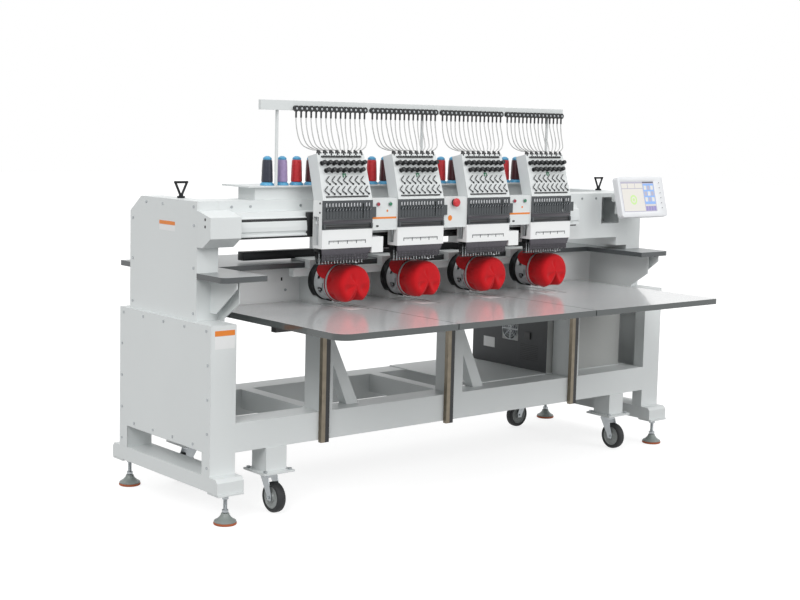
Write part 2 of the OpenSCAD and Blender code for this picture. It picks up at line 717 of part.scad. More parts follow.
module cap_ring(k) color(zinc) placed() translate([arm_x[k], 0, ring_z]) {
    tube_ring(ring_r, bore_in, bearing_y[0] - 14 - seat, bearing_y[0] - seat);
    tube_ring(cap_r - cap_wall - seat, 77, cap_end - 12, bearing_y[0] - 14 - seat);
    for (a = [200, 250, 290, 340]) rotate([0, -a, 0]) translate([77, 172, -7]) cube([9, 24, 14]);
}

// Outline of a crown, as radius and distance from its front
module cap_profile(r, edge) {
    square([r - edge, cap_end - cap_front]);
    translate([0, edge]) square([r, cap_end - cap_front - edge]);
    translate([r - edge, edge]) circle(edge, $fn = 36);
}

// A cap's crown: a closed front with a rounded edge, open at its rim
module crown(g) translate([0, cap_front + g, 0]) rotate([-90, 0, 0]) rotate_extrude($fn = 96)
    difference() {
        cap_profile(cap_r - g, cap_edge - g);
        translate([-200, -1]) square([200, 400]);
    }

// A cap over the arm's nose, with its peak folded back over the ring
module cap(k) color(red) placed() translate([arm_x[k], 0, ring_z]) {
    difference() {
        crown(0);
        crown(cap_wall);
    }
    intersection() {
        tube_ring(cap_r + 3.5, cap_r + seat + 0.9, cap_end - 10, 236);
        along_y(cap_end - 11, 239) polygon([[0, 0], [70, 140], [-160, 140], [-140, 30]]);
        linear_extrude(100) polygon([[-100, cap_end - 11], [-84, cap_end], [-52, 240], [60, 240],
            [60, cap_end - 11]]);
    }
    intersection() {
        tube_ring(cap_r + 1.2, cap_r, cap_end - 10, cap_end);
        along_y(cap_end - 11, cap_end + 1) polygon([[0, 0], [70, 140], [-160, 140], [-140, 30]]);
    }
}

module caster_fork(i) color(zinc) placed() translate([caster_pos[i][0], caster_pos[i][1], 0])
    rotate([0, 0, caster_pos[i][2]]) {
        translate([0, 0, caster_h - 18]) cylinder(r = 34, h = 18 - seat, $fn = 48);
        translate([0, 0, caster_h - 24]) cylinder(r = 28, h = 8, $fn = 48);
        for (s = [-1, 1]) translate([0, s * (wheel_w / 2 + 4) - 2, 0]) rotate([90, 0, 0])
            translate([0, 0, -4]) linear_extrude(4) polygon([[-26, caster_h - 20], [26, caster_h - 20],
                [caster_trail + 16, wheel_dia / 2 + 6], [caster_trail + 12, wheel_dia / 2 - 12],
                [caster_trail - 12, wheel_dia / 2 - 12], [caster_trail - 18, wheel_dia / 2 + 8]]);
        translate([-26, -wheel_w / 2 - 6, caster_h - 24]) cube([52, wheel_w + 12, 6]);
        translate([caster_trail, wheel_w / 2 + 12, wheel_dia / 2]) rotate([90, 0, 0])
            cylinder(r = 5, h = wheel_w + 24, $fn = 32);
    }

module caster_wheel(i) color(black) placed() translate([caster_pos[i][0], caster_pos[i][1], 0])
    rotate([0, 0, caster_pos[i][2]]) translate([caster_trail, 0, wheel_dia / 2]) rotate([90, 0, 0])
        rotate_extrude($fn = 96) polygon([[5 + fit, -wheel_w / 2], [18, -wheel_w / 2],
            [22, -wheel_w / 2 + 5], [42, -wheel_w / 2 + 5], [44, -wheel_w / 2 + 2],
            [wheel_dia / 2 - 7, -wheel_w / 2 + 2], [wheel_dia / 2, -wheel_w / 4],
            [wheel_dia / 2, wheel_w / 4], [wheel_dia / 2 - 7, wheel_w / 2 - 2],
            [44, wheel_w / 2 - 2], [42, wheel_w / 2 - 5], [22, wheel_w / 2 - 5], [18, wheel_w / 2],
            [5 + fit, wheel_w / 2]]);

stand_frame();
side_covers();
columns();
head_beam();
beam_covers();
upper_table();
side_plates();
bed_panel();
sewing_arms();
needle_plates();
control_cabinet();
cabinet_inlet();
head_castings();
button_panels();
thread_tray();
thread_cones();
thread_tree();
thread_guides();
lifting_eyes();
screen_bracket();
slide_rails();
fasteners();
levelling_feet();
lower_table();
table_sliders();
needle_cases();
case_covers();
tension_boxes();
thread_controls();
idle_needles();
active_needles();
active_levers();
rotary_hook(0);  // hook_1
rotary_hook(1);  // hook_2
rotary_hook(2);  // hook_3
rotary_hook(3);  // hook_4
cap_beam();
cap_ring(0);  // cap_ring_1
cap_ring(1);  // cap_ring_2
cap_ring(2);  // cap_ring_3
cap_ring(3);  // cap_ring_4
cap(0);  // cap_1
cap(1);  // cap_2
cap(2);  // cap_3
cap(3);  // cap_4
caster_fork(0);  // caster_fork_1
caster_fork(1);  // caster_fork_2
caster_fork(2);  // caster_fork_3
caster_fork(3);  // caster_fork_4
caster_wheel(0);  // caster_wheel_1
caster_wheel(1);  // caster_wheel_2
caster_wheel(2);  // caster_wheel_3
caster_wheel(3);  // caster_wheel_4
cabinet_fan();
screen();
emergency_stop();
stop_button(0);  // stop_button_1
stop_button(1);  // stop_button_2
start_button(0);  // start_button_1
start_button(1);  // start_button_2
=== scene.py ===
"""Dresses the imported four-head embroidery machine: finishes, soft caps, thread and stage."""
import math
import random

import bmesh
import bpy
from bpy.props import FloatProperty, FloatVectorProperty, IntProperty, PointerProperty
from bpy.types import Operator, Panel, PropertyGroup
from mathutils import Matrix, Vector, noise


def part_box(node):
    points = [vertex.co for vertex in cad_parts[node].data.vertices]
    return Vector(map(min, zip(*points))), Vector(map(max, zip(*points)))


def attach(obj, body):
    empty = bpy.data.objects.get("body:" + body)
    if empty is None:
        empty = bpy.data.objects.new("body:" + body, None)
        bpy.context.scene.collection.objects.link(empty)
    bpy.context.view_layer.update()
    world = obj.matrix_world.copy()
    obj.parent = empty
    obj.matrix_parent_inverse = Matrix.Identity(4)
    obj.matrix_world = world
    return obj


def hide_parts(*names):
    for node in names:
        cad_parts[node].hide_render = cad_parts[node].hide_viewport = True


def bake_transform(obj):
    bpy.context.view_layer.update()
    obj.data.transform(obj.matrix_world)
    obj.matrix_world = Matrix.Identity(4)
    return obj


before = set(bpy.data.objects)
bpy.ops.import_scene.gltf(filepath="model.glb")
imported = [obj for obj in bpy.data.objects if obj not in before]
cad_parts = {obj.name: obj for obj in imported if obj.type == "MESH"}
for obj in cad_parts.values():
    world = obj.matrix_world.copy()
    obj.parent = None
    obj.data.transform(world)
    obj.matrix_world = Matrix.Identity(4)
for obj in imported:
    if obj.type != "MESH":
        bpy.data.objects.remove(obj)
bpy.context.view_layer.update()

bl_info = {
    "name": "Embroidery machine",
    "version": (1, 0, 0),
    "blender": (4, 5, 0),
    "location": "3D View > Sidebar > Machine",
    "description": "Builds the visible pieces of a four-head embroidery machine",
    "category": "Object",
}

MM = 0.001
# Front face of the stand's posts: every layout value below counts its y from here, in mm
Y_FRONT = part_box("side_covers")[0][1]

# The heads, each with its needle case to the left and fifteen needles
HEADS = (-600, -200, 200, 600)
CASES = [x - 80 for x in HEADS]
CASE_HALF = 131
CASE_TOP = 1257
NEEDLES = range(-7, 8)
NEEDLE_IN_USE = 5
NEEDLE_PITCH = 16
TENSION_LEAN = math.atan2(58, 190)
# The cap rings' axis, and the face of the flange that drives them
CAP_RING_Z = 899
FLANGE_Y = 228.7
# The thread stand: one row of cones on the tray, guides on the bar above it
TRAY_Z = 1312
CONE_Y, CONE_PITCH = 190, 74
GUIDE_Z, GUIDE_PITCH = 1627, 25.5
# Button panels between the heads, the middle one with the emergency stop
PANELS = (-480, -80, 320)
PANEL_Y = 7
BUTTON_Z = 1238
KEY_SHIFTS = {"stop": -37, "start": 29}
# The control cabinet's left side and front, and the casters
CABINET_LEFT, CABINET_FRONT = 650, 120
WHEEL_RADIUS = 62.5
AXES = {"X": Vector((1, 0, 0)), "Y": Vector((0, 1, 0)), "Z": Vector((0, 0, 1))}


def at(x, y, z):
    """A layout point in mm as a point of the frame in metres."""
    return Vector((x * MM, Y_FRONT + y * MM, z * MM))


# ---- colours and nodes

def tone(colour):
    """Linear RGBA of an sRGB hex value, or of a colour that was picked in the sidebar."""
    if not isinstance(colour, str):
        return [*colour, 1.0]
    parts = [int(colour[i:i + 2], 16) / 255 for i in (0, 2, 4)]
    return [p / 12.92 if p <= 0.04045 else ((p + 0.055) / 1.055) ** 2.4 for p in parts] + [1.0]


def add(tree, kind, inputs=None, **settings):
    """Adds a node with its settings; an input is a value or a socket to link from."""
    node = tree.nodes.new(kind)
    for key, value in settings.items():
        setattr(node, key, value)
    for key, value in (inputs or {}).items():
        if isinstance(value, bpy.types.NodeSocket):
            tree.links.new(value, node.inputs[key])
        else:
            node.inputs[key].default_value = value
    return node


def per_metre(mm):
    """Noise scale that makes features about this many mm wide."""
    return 1000.0 / mm


def object_spot(tree):
    """Coordinates that stay with the object, in metres."""
    return add(tree, "ShaderNodeTexCoord").outputs["Object"]


def speckle(tree, spot, mm, detail):
    """Soft noise with features of the given size."""
    return add(tree, "ShaderNodeTexNoise", {"Vector": spot, "Scale": per_metre(mm),
                                            "Detail": detail}).outputs["Fac"]


def mixed(tree, factor, first, second):
    """A mix of two colours, each a value or a socket."""
    return add(tree, "ShaderNodeMix", {0: factor, 6: first, 7: second}, data_type="RGBA").outputs[2]


def set_inputs(shader, **values):
    """Sets inputs of a shader by name, with _ for a space."""
    for key, value in values.items():
        shader.inputs[key.replace("_", " ")].default_value = value


def surface(name, colour, other, drift_mm, rough, grain_mm, grain_depth, edge_mm=0.0,
            rough_swing=0.08, **values):
    """A finish whose colour drifts between two tones and whose grain raises a fine bump.

    edge_mm rounds the look of folded and moulded edges, so that they catch the light.
    """
    mat = bpy.data.materials.new(name)
    mat.use_nodes = True
    tree = mat.node_tree
    shader = tree.nodes["Principled BSDF"]
    spot = object_spot(tree)
    drift = speckle(tree, spot, drift_mm, 3.0)
    tree.links.new(mixed(tree, drift, tone(colour), tone(other)), shader.inputs["Base Color"])
    grain = speckle(tree, spot, grain_mm, 2.0)
    level = add(tree, "ShaderNodeMapRange", {"Value": grain, "To Min": rough - rough_swing / 2,
                                             "To Max": rough + rough_swing / 2})
    tree.links.new(level.outputs["Result"], shader.inputs["Roughness"])
    bump = add(tree, "ShaderNodeBump", {"Height": grain, "Strength": 0.5,
                                        "Distance": grain_depth * MM})
    if edge_mm:
        soft = add(tree, "ShaderNodeBevel", {"Radius": edge_mm * MM}, samples=4)
        tree.links.new(soft.outputs["Normal"], bump.inputs["Normal"])
    tree.links.new(bump.outputs["Normal"], shader.inputs["Normal"])
    set_inputs(shader, **values)
    return mat


def laminate(name, top, top_other, edge, rough, coat):
    """Laminated board: decor paper on top with fine flecks, a dark moulded band on its edge."""
    mat = surface(name, top, top_other, 140, rough, 2.2, 0.03, Coat_Weight=coat)
    tree = mat.node_tree
    base = tree.nodes["Principled BSDF"].inputs["Base Color"]
    decor = base.links[0].from_socket
    # flecks of the decor paper are under 1 mm; drawn 3 mm wide so that they show
    fleck = speckle(tree, object_spot(tree), 3, 1.0)
    dots = add(tree, "ShaderNodeMapRange", {"Value": fleck, "From Min": 0.60, "From Max": 0.72,
                                            "To Max": 0.35})
    flecked = mixed(tree, dots.outputs["Result"], decor, tone(edge))
    normal = add(tree, "ShaderNodeTexCoord").outputs["Normal"]
    up = add(tree, "ShaderNodeSeparateXYZ", {"Vector": normal})
    is_top = add(tree, "ShaderNodeMath", {0: up.outputs["Z"], 1: 0.5}, operation="GREATER_THAN")
    tree.links.new(mixed(tree, is_top.outputs[0], tone(edge), flecked), base)
    return mat


def twill(name, colour, shade):
    """Brushed cotton twill, woven in diagonal ribs: matt, with a soft sheen at its edges."""
    mat = surface(name, colour, shade, 45, 0.82, 1.1, 0.10, Sheen_Weight=0.12, Sheen_Roughness=0.45,
                  Specular_IOR_Level=0.25)
    tree = mat.node_tree
    tilt = add(tree, "ShaderNodeMapping", {"Vector": object_spot(tree),
                                           "Rotation": (0.4, math.radians(62), 0.3)})
    # twill ribs are 0.8 mm apart; drawn 2.4 mm apart so that they show
    ribs = add(tree, "ShaderNodeTexWave", {"Vector": tilt.outputs[0], "Distortion": 0.6,
                                           "Scale": per_metre(2.4) / 20 * math.pi, "Detail": 1.0})
    fine = [n for n in tree.nodes if n.bl_idname == "ShaderNodeBump"][0]
    raised = add(tree, "ShaderNodeBump", {"Height": ribs.outputs["Fac"], "Strength": 0.35,
                 "Distance": 0.25 * MM, "Normal": fine.outputs["Normal"]})
    tree.links.new(raised.outputs["Normal"], tree.nodes["Principled BSDF"].inputs["Normal"])
    return mat


def winding(name, colour, shade):
    """Glossy polyester thread, cross-wound on a cone: fine slanting bands with a silky shine."""
    mat = surface(name, colour, shade, 12, 0.38, 1.2, 0.05, Sheen_Weight=0.3)
    tree = mat.node_tree
    # turns of thread are 0.4 mm apart; drawn in bands of 3 mm so that they show
    turns = add(tree, "ShaderNodeTexWave", {"Vector": object_spot(tree), "Distortion": 1.4,
                "Scale": per_metre(3) / 20 * math.pi, "Detail": 1.0}, bands_direction="Z")
    raised = add(tree, "ShaderNodeBump", {"Height": turns.outputs["Fac"], "Strength": 0.5,
                                          "Distance": 0.5 * MM})
    tree.links.new(raised.outputs["Normal"], tree.nodes["Principled BSDF"].inputs["Normal"])
    return mat


def glow(name, colour, strength):
    """Backlit display glass: an even field that gives off its own light under a smooth pane."""
    return surface(name, colour, colour, 60, 0.12, 4, 0.002, Emission_Color=tone(colour),
                   Emission_Strength=strength)


FINISHES = {}


def make_finishes(picked):
    """Makes every finish of the machine."""
    def keep(key, *recipe, **extras):
        """Name, two tones, drift in mm, roughness, grain and its depth in mm, rounding in mm."""
        FINISHES[key] = surface(*recipe, **extras)
    # powder-coated sheet steel: even, satin, with a faint orange peel (1 to 2 mm, drawn 5 mm)
    keep("white paint", "powder_coated_steel_white", picked.body, "d6dada", 420, 0.42, 5, 0.02, 2.0)
    # the same paint with painted light: made lighter on the needle cases and the bed panel, so that
    # they look more brightly lit
    keep("paint with painted light", "powder_coated_steel_painted_light", "eceded", "e5e7e7", 300, 0.36, 5, 0.02, 1.5)
    # mid-grey powder coat on the control cabinet
    keep("grey paint", "powder_coated_steel_grey", "b2b4b2", "a8aaa8", 200, 0.42, 5, 0.03, 1.5)
    # moulded ABS housing: finely textured, a little warmer and softer than paint
    keep("white plastic", "moulded_abs_white", "e6e8ea", "dfe1e4", 90, 0.38, 2, 0.02, 1.2)
    # charcoal ABS covers: satin, with a slight grey bloom
    keep("charcoal plastic", "moulded_abs_charcoal", picked.trim, "474b4e", 60, 0.40, 2, 0.04, 1.0)
    # black nylon: dense, smooth, with small highlights
    keep("black plastic", "moulded_nylon_black", "17181a", "212325", 30, 0.36, 2, 0.03, 0.8)
    # cast aluminium under dark hammer paint: slightly lumpy (8 mm), satin
    keep("dark paint", "painted_casting_dark", "3b3e41", "303336", 80, 0.48, 8, 0.12, 2.0)
    # bright zinc plating on rolled steel: grey, with clouded roughness
    keep("zinc", "zinc_plated_steel", "b4b8ba", "9a9fa2", 25, 0.34, 3, 0.02, 0.8, 0.16,
         Metallic=1.0)
    # cold-drawn rail with a brown film of oil
    keep("oiled steel", "cold_drawn_steel_oiled", "8d8577", "6f675a", 30, 0.42, 3, 0.03, 0.8,
         Metallic=1.0)
    # silver lacquer over rolled steel: light, satin
    keep("silver lacquer", "silver_lacquered_steel", "c9cdcf", "b6babc", 25, 0.36, 3, 0.02, 0.8,
         Metallic=0.35)
    # ground and polished steel: bright, cool
    keep("steel", "polished_steel", "cfd2d4", "b9bdc0", 40, 0.20, 4, 0.01, 0, 0.10, Metallic=1.0)
    # black anodised aluminium: dark metal with a soft broad shine
    keep("black anodised", "black_anodised_aluminium", "26282a", "1c1e20", 30, 0.42, 2, 0.02, 0.8,
         Metallic=0.6)
    # the tables: a dull dark board above, a glossy pale one below, both with dark edge bands
    FINISHES["upper board"] = laminate("laminated_board_dark", "85898a", "7d8183", "4a4e50", 0.34,
                                       0.15)
    FINISHES["lower board"] = laminate("laminated_board_grey", "dadbdc", "d2d4d5", "454b4b", 0.16,
                                       0.5)
    FINISHES["cap cloth"] = twill("cotton_twill_red", picked.cloth, "ad0c15")
    FINISHES["cap dark cloth"] = twill("cotton_twill_dark_red", "8e1019", "7a0d15")
    for shade, first, second in (("navy", "1b2138", "0f1424"), ("lilac", "a893bd", "8d7ba6"),
                                 ("red", "cf1c25", "a3121a"), ("wine", "4d0f19", "2a0a12"),
                                 ("black", "15161c", "0c0d12")):
        FINISHES["thread " + shade] = winding("polyester_thread_" + shade, first, second)
    # polystyrene cone foot and tip: light blue, moulded, slightly glossy
    keep("cone plastic", "moulded_polystyrene_blue", "55a3cc", "4795be", 30, 0.30, 3, 0.01)
    # PTFE tube: milky and smooth
    keep("tube", "ptfe_tube", "c2c2c1", "b6b7b6", 60, 0.35, 4, 0.01)
    # vinyl labels under a matt film: an orange print and a pale field
    keep("orange", "vinyl_label_orange", "e8862e", "e07d26", 50, 0.40, 2, 0.01)
    keep("label", "vinyl_label_pale", "e9eaea", "e3e4e4", 60, 0.32, 2, 0.01)
    keep("print", "screen_print_grey", "6d7072", "66696b", 20, 0.5, 2, 0.01)
    # the feet: orange rubber under enamelled iron, whose glossy drips cover a rough casting
    keep("orange pad", "cast_rubber_orange", "b8623a", "a4532f", 20, 0.6, 3, 0.1)
    keep("foot enamel", "enamelled_iron_grey_green", "8d9491", "7f8683", 30, 0.38, 4, 0.08, 1.5)
    # the casters: black rubber with a dusty, matt tread, on a grey nylon hub
    keep("tyre", "moulded_rubber_black", "1a1b1d", "26282a", 15, 0.66, 2, 0.1)
    keep("hub", "moulded_nylon_grey", "a2a6a5", "8f9392", 20, 0.45, 3, 0.03, 1.0)
    # push-button caps: glossy moulded plastic with a thin clear skin
    for shade, first, second in (("red", "d3202a", "bd1a24"), ("green", "147a52", "0f6b47"),
                                 ("dark red", "a01832", "8d142b")):
        keep(shade + " plastic", "moulded_plastic_" + shade.replace(" ", "_"), first, second, 20,
             0.28, 3, 0.01, Coat_Weight=0.3)
    # hardened steel hook: bright with a dark film of oil
    keep("hook steel", "hardened_steel", "8f9396", "6f7376", 15, 0.26, 3, 0.02, Metallic=1.0)
    # dark polyamide fringe over the needles, faintly violet
    keep("smoked plastic", "moulded_polyamide_smoke", "4a474e", "37343b", 12, 0.38, 2, 0.05, 0.6)
    # smoked acrylic strip: dark, glossy, faintly violet
    keep("smoked acrylic", "smoked_acrylic", "2b2631", "221e28", 60, 0.12, 4, 0.005,
         Coat_Weight=0.5)


def dress(node, name):
    """Gives a CAD node its finish."""
    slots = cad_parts[node].data.materials
    slots.clear()
    slots.append(FINISHES[name])


# ---- shaping

def turned(degrees, axis):
    """A turn about one of the layout's axes."""
    return Matrix.Rotation(math.radians(degrees), 4, axis)


def faces_of(verts):
    """Every face that touches one of the vertices."""
    return list({f for v in verts for f in v.link_faces})


def soften(bm, verts, round_mm, segments=2):
    """Bevels every edge between the given vertices."""
    if round_mm:
        edges = list({e for v in verts for e in v.link_edges})
        bmesh.ops.bevel(bm, geom=edges, offset=round_mm * MM, segments=segments, affect="EDGES",
                        profile=0.5, material=-1, clamp_overlap=True)


def box(bm, x, y, z, round_mm=1.0, material=0, segments=2):
    """A block between layout values in mm, with rounded edges."""
    low, high = at(x[0], y[0], z[0]), at(x[1], y[1], z[1])
    size = high - low
    matrix = Matrix.Translation((low + high) / 2) @ Matrix.Diagonal((*size, 1))
    verts = bmesh.ops.create_cube(bm, size=1, matrix=matrix)["verts"]
    for f in faces_of(verts):
        f.material_index = material
    soften(bm, verts, round_mm, segments)


def prism(bm, outline, axis, low, high, round_mm=0.0, material=0):
    """Extrudes an outline in mm: (y, z) along X, (x, z) along Y or (x, y) along Z."""
    def spot(u, v, w):
        return {"X": at(w, u, v), "Y": at(u, w, v), "Z": at(u, v, w)}[axis]
    face = bm.faces.new([bm.verts.new(spot(u, v, low)) for u, v in outline])
    face.material_index = material
    grown = bmesh.ops.extrude_face_region(bm, geom=[face])["geom"]
    top = [g for g in grown if isinstance(g, bmesh.types.BMVert)]
    bmesh.ops.translate(bm, verts=top, vec=spot(0, 0, high) - spot(0, 0, low))
    soften(bm, list(face.verts) + top, round_mm)


def lathe(bm, outline, centre=(0, 0, 0), axis="Z", steps=32, material=0, closed=False):
    """Spins an outline of (radius, distance along the axis) in mm round a layout point."""
    along = AXES[axis]
    out = AXES["Y" if axis == "X" else "X"]
    verts = [bm.verts.new(at(*centre) + (out * r + along * h) * MM) for r, h in outline]
    pairs = list(zip(verts, verts[1:])) + ([(verts[-1], verts[0])] if closed else [])
    edges = [bm.edges.new(pair) for pair in pairs]
    bmesh.ops.spin(bm, geom=verts + edges, cent=at(*centre), axis=along, angle=math.tau,
                   steps=steps, use_merge=True)
    todo, seen = list(verts), set(verts)
    while todo:
        for e in todo.pop().link_edges:
            for v in e.verts:
                if v not in seen:
                    seen.add(v)
                    todo.append(v)
    for f in faces_of(seen):
        f.material_index = material
    bmesh.ops.remove_doubles(bm, verts=list(seen), dist=1e-6)


def disc(bm, radius, low, high, centre, axis="Y", steps=24, material=0):
    """A plain disc or pin between two distances along its axis."""
    lathe(bm, [(0, low), (radius, low), (radius, high), (0, high)], centre, axis, steps, material)


def screw_head(radius, inner, edge, top):
    """Outline of a screw's head: flat, with a broken edge."""
    return [(0, 0), (radius, 0), (radius, edge), (inner, top), (0, top)]


def mirrored(half):
    """An outline that is the same on both sides of its middle."""
    return half + [(r, -h) for r, h in reversed(half) if h]


def stamp(bm, mesh, matrices):
    """Adds a copy of a mesh at each matrix."""
    for matrix in matrices:
        copy = mesh.copy()
        copy.transform(matrix)
        bm.from_mesh(copy)
        bpy.data.meshes.remove(copy)


def pattern(build):
    """A mesh made once about the layout's zero point, for stamping."""
    bm = bmesh.new()
    build(bm)
    bmesh.ops.recalc_face_normals(bm, faces=bm.faces)
    bmesh.ops.translate(bm, verts=bm.verts, vec=-at(0, 0, 0))
    mesh = bpy.data.meshes.new("pattern")
    bm.to_mesh(mesh)
    bm.free()
    return mesh


def move(x, y, z, turn=None):
    """A matrix that puts the zero point of a pattern at a layout point, turned if asked."""
    matrix = Matrix.Translation(at(x, y, z))
    return matrix @ turn if turn else matrix


def link_object(name, data):
    """Puts an object with the given data into the scene."""
    obj = bpy.data.objects.new(name, data)
    bpy.context.scene.collection.objects.link(obj)
    return obj


def finish_piece(name, mesh, body, materials, smooth):
    """Links a mesh as a piece with its finishes, smooth up to an angle in degrees."""
    obj = link_object(name, mesh)
    for material in materials:
        mesh.materials.append(FINISHES[material])
    mesh.shade_smooth()
    mesh.set_sharp_from_angle(angle=math.radians(smooth))
    if body:
        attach(obj, body)
    return obj


def piece(name, bm, body, materials, smooth=40, tidy=True):
    """Turns a bmesh into a piece that rides on a body."""
    if tidy:
        bmesh.ops.recalc_face_normals(bm, faces=bm.faces)
    mesh = bpy.data.meshes.new(name)
    bm.to_mesh(mesh)
    bm.free()
    return finish_piece(name, mesh, body, materials, smooth)


def wires(name, paths, radius_mm, body, material):
    """Round wires along paths of layout points, as one mesh piece."""
    curve = bpy.data.curves.new(name, "CURVE")
    curve.dimensions = "3D"
    curve.bevel_depth = radius_mm * MM
    curve.bevel_resolution = 1
    curve.use_fill_caps = True
    for path in paths:
        line = curve.splines.new("POLY")
        line.points.add(len(path) - 1)
        for point, spot in zip(line.points, path):
            point.co = (*at(*spot), 1.0)
    holder = link_object(name + "_path", curve)
    bpy.context.view_layer.update()
    solid = holder.evaluated_get(bpy.context.evaluated_depsgraph_get())
    mesh = bpy.data.meshes.new_from_object(solid)
    mesh.name = name
    bpy.data.objects.remove(holder)
    return finish_piece(name, mesh, body, [material], 60)


# ---- settings

def length(name, description, default, low, high):
    """A size in metres that the sidebar shows with its unit."""
    return FloatProperty(name=name, description=description, default=default, min=low, max=high,
                         unit="LENGTH", subtype="DISTANCE")


def choice(name, description, code):
    """A colour that a buyer chooses."""
    return FloatVectorProperty(name=name, description=description, default=tone(code)[:3], size=3,
                               min=0, max=1, subtype="COLOR")


class MachineSizes(PropertyGroup):
    """Sizes that change how the dressed machine looks."""
    cap_radius: length("Cap radius", "Radius of a cap's crown", 0.083, 0.078, 0.084)
    cloth_wall: length("Cloth thickness", "Thickness of a cap's cloth", 0.0016, 0.001, 0.002)
    tube_radius: length("Thread tube radius", "Radius of a thread tube", 0.0025, 0.001, 0.003)
    tube_sag: length("Thread tube sag", "How far the tubes bow out sideways", 0.012, 0.0, 0.03)
    cap_panels: IntProperty(name="Cap panels", description="Sewn panels of a crown", default=6,
                            min=5, max=6)


class MachineColours(PropertyGroup):
    """Colours that a buyer chooses."""
    body: choice("Body paint", "Colour of the painted steel", "dee2e2")
    trim: choice("Cover plastic", "Colour of the slotted covers", "3a3e41")
    cloth: choice("Cap cloth", "Colour of the caps", "c9101a")


# ---- stage

CAMERA_SPOT = (-4339.5, -4651.1, 1589.7)
CAMERA_YAW, CAMERA_PITCH, CAMERA_ROLL = 40.1, 6.0, 1.4
CAMERA_LENS, CAMERA_SHIFT = 64.83, (0.007, -0.0356)
# each lamp's direction, strength and spread in degrees
LAMPS = {"key_lamp": ((-0.62, -0.42, 0.66), 1.2, 30),
         "front_lamp": ((0.25, -0.85, 0.50), 1.0, 40),
         "top_lamp": ((0.1, 0.25, 1.0), 0.45, 60)}
DOME_LIGHT = 0.62
FLOOR_GREY, FLOOR_LIFT = 0.34, 0.80


def seen_directly(tree):
    """1 for what the camera sees straight or mirrored, and the light path node behind it."""
    rays = add(tree, "ShaderNodeLightPath")
    seen = add(tree, "ShaderNodeMath", {0: rays.outputs["Is Camera Ray"],
                                        1: rays.outputs["Is Glossy Ray"]}, operation="MAXIMUM")
    return seen.outputs[0], rays


class MACHINE_OT_stage(Operator):
    """Sets up the camera, the lamps, the pale floor and the white surroundings"""
    bl_idname = "machine.stage"
    bl_label = "Stage"

    def execute(self, context):
        scene = context.scene
        yaw, pitch, roll = (math.radians(a) for a in (CAMERA_YAW, CAMERA_PITCH, CAMERA_ROLL))
        ahead = Vector((math.sin(yaw) * math.cos(pitch), math.cos(yaw) * math.cos(pitch),
                        -math.sin(pitch)))
        right = Vector((math.cos(yaw), -math.sin(yaw), 0))
        up = right.cross(ahead)
        across = right * math.cos(roll) + up * math.sin(roll)
        upward = up * math.cos(roll) - right * math.sin(roll)
        data = bpy.data.cameras.new("camera")
        data.lens, data.sensor_width = CAMERA_LENS, 36.0
        data.shift_x, data.shift_y = CAMERA_SHIFT
        data.clip_end = 60.0
        camera = link_object("camera", data)
        camera.matrix_world = Matrix.Translation(at(*CAMERA_SPOT)) @ Matrix(
            (across, upward, -ahead)).transposed().to_4x4()
        scene.camera = camera
        scene.view_settings.view_transform = "Standard"
        for name, (towards, strength, spread) in LAMPS.items():
            self.lamp(name, towards, strength, spread)
        self.world(scene)
        self.floor()
        return {"FINISHED"}

    @staticmethod
    def lamp(name, towards, strength, spread):
        """A large soft lamp, far away in the given direction."""
        data = bpy.data.lights.new(name, "SUN")
        data.energy, data.angle = strength, math.radians(spread)
        lamp = link_object(name, data)
        lamp.matrix_world = Vector(towards).to_track_quat("Z", "Y").to_matrix().to_4x4()

    @staticmethod
    def world(scene):
        """White where it is seen, reflected or seen through; a plain dimmer dome as a light."""
        world = bpy.data.worlds.new("surroundings")
        world.use_nodes = True
        tree = world.node_tree
        tree.nodes.clear()
        seen, rays = seen_directly(tree)
        seen = add(tree, "ShaderNodeMath", {0: seen, 1: rays.outputs["Is Transmission Ray"]},
                   operation="MAXIMUM")
        white = add(tree, "ShaderNodeBackground", {"Color": (1, 1, 1, 1), "Strength": 1.0})
        dome = add(tree, "ShaderNodeBackground", {"Color": (1, 1, 1, 1), "Strength": DOME_LIGHT})
        both = add(tree, "ShaderNodeMixShader", {0: seen.outputs[0], 1: dome.outputs[0],
                                                 2: white.outputs[0]})
        add(tree, "ShaderNodeOutputWorld", {"Surface": both.outputs[0]})
        scene.world = world

    @staticmethod
    def floor():
        """A wide pale floor that keeps the machine's shadow and turns white away from it."""
        bm = bmesh.new()
        bmesh.ops.create_grid(bm, x_segments=1, y_segments=1, size=30,
                              matrix=Matrix.Translation((0, 0, -0.0005)))
        mesh = bpy.data.meshes.new("floor")
        bm.to_mesh(mesh)
        bm.free()
        floor = link_object("floor", mesh)
        mat = bpy.data.materials.new("studio_floor_white")
        mat.use_nodes = True
        tree = mat.node_tree
        tree.nodes.clear()
        seen, _ = seen_directly(tree)
        matt = add(tree, "ShaderNodeBsdfDiffuse", {"Color": (*[FLOOR_GREY] * 3, 1)})
        lift = add(tree, "ShaderNodeMath", {0: seen, 1: FLOOR_LIFT}, operation="MULTIPLY")
        lit = add(tree, "ShaderNodeEmission", {"Strength": lift.outputs[0]})
        both = add(tree, "ShaderNodeAddShader", {0: matt.outputs[0], 1: lit.outputs[0]})
        add(tree, "ShaderNodeOutputMaterial", {"Surface": both.outputs[0]})
        mesh.materials.append(mat)


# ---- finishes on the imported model

def numbered(stem, count=4):
    """The names of nodes that come in a numbered set."""
    return tuple(f"{stem}_{i}" for i in range(1, count + 1))


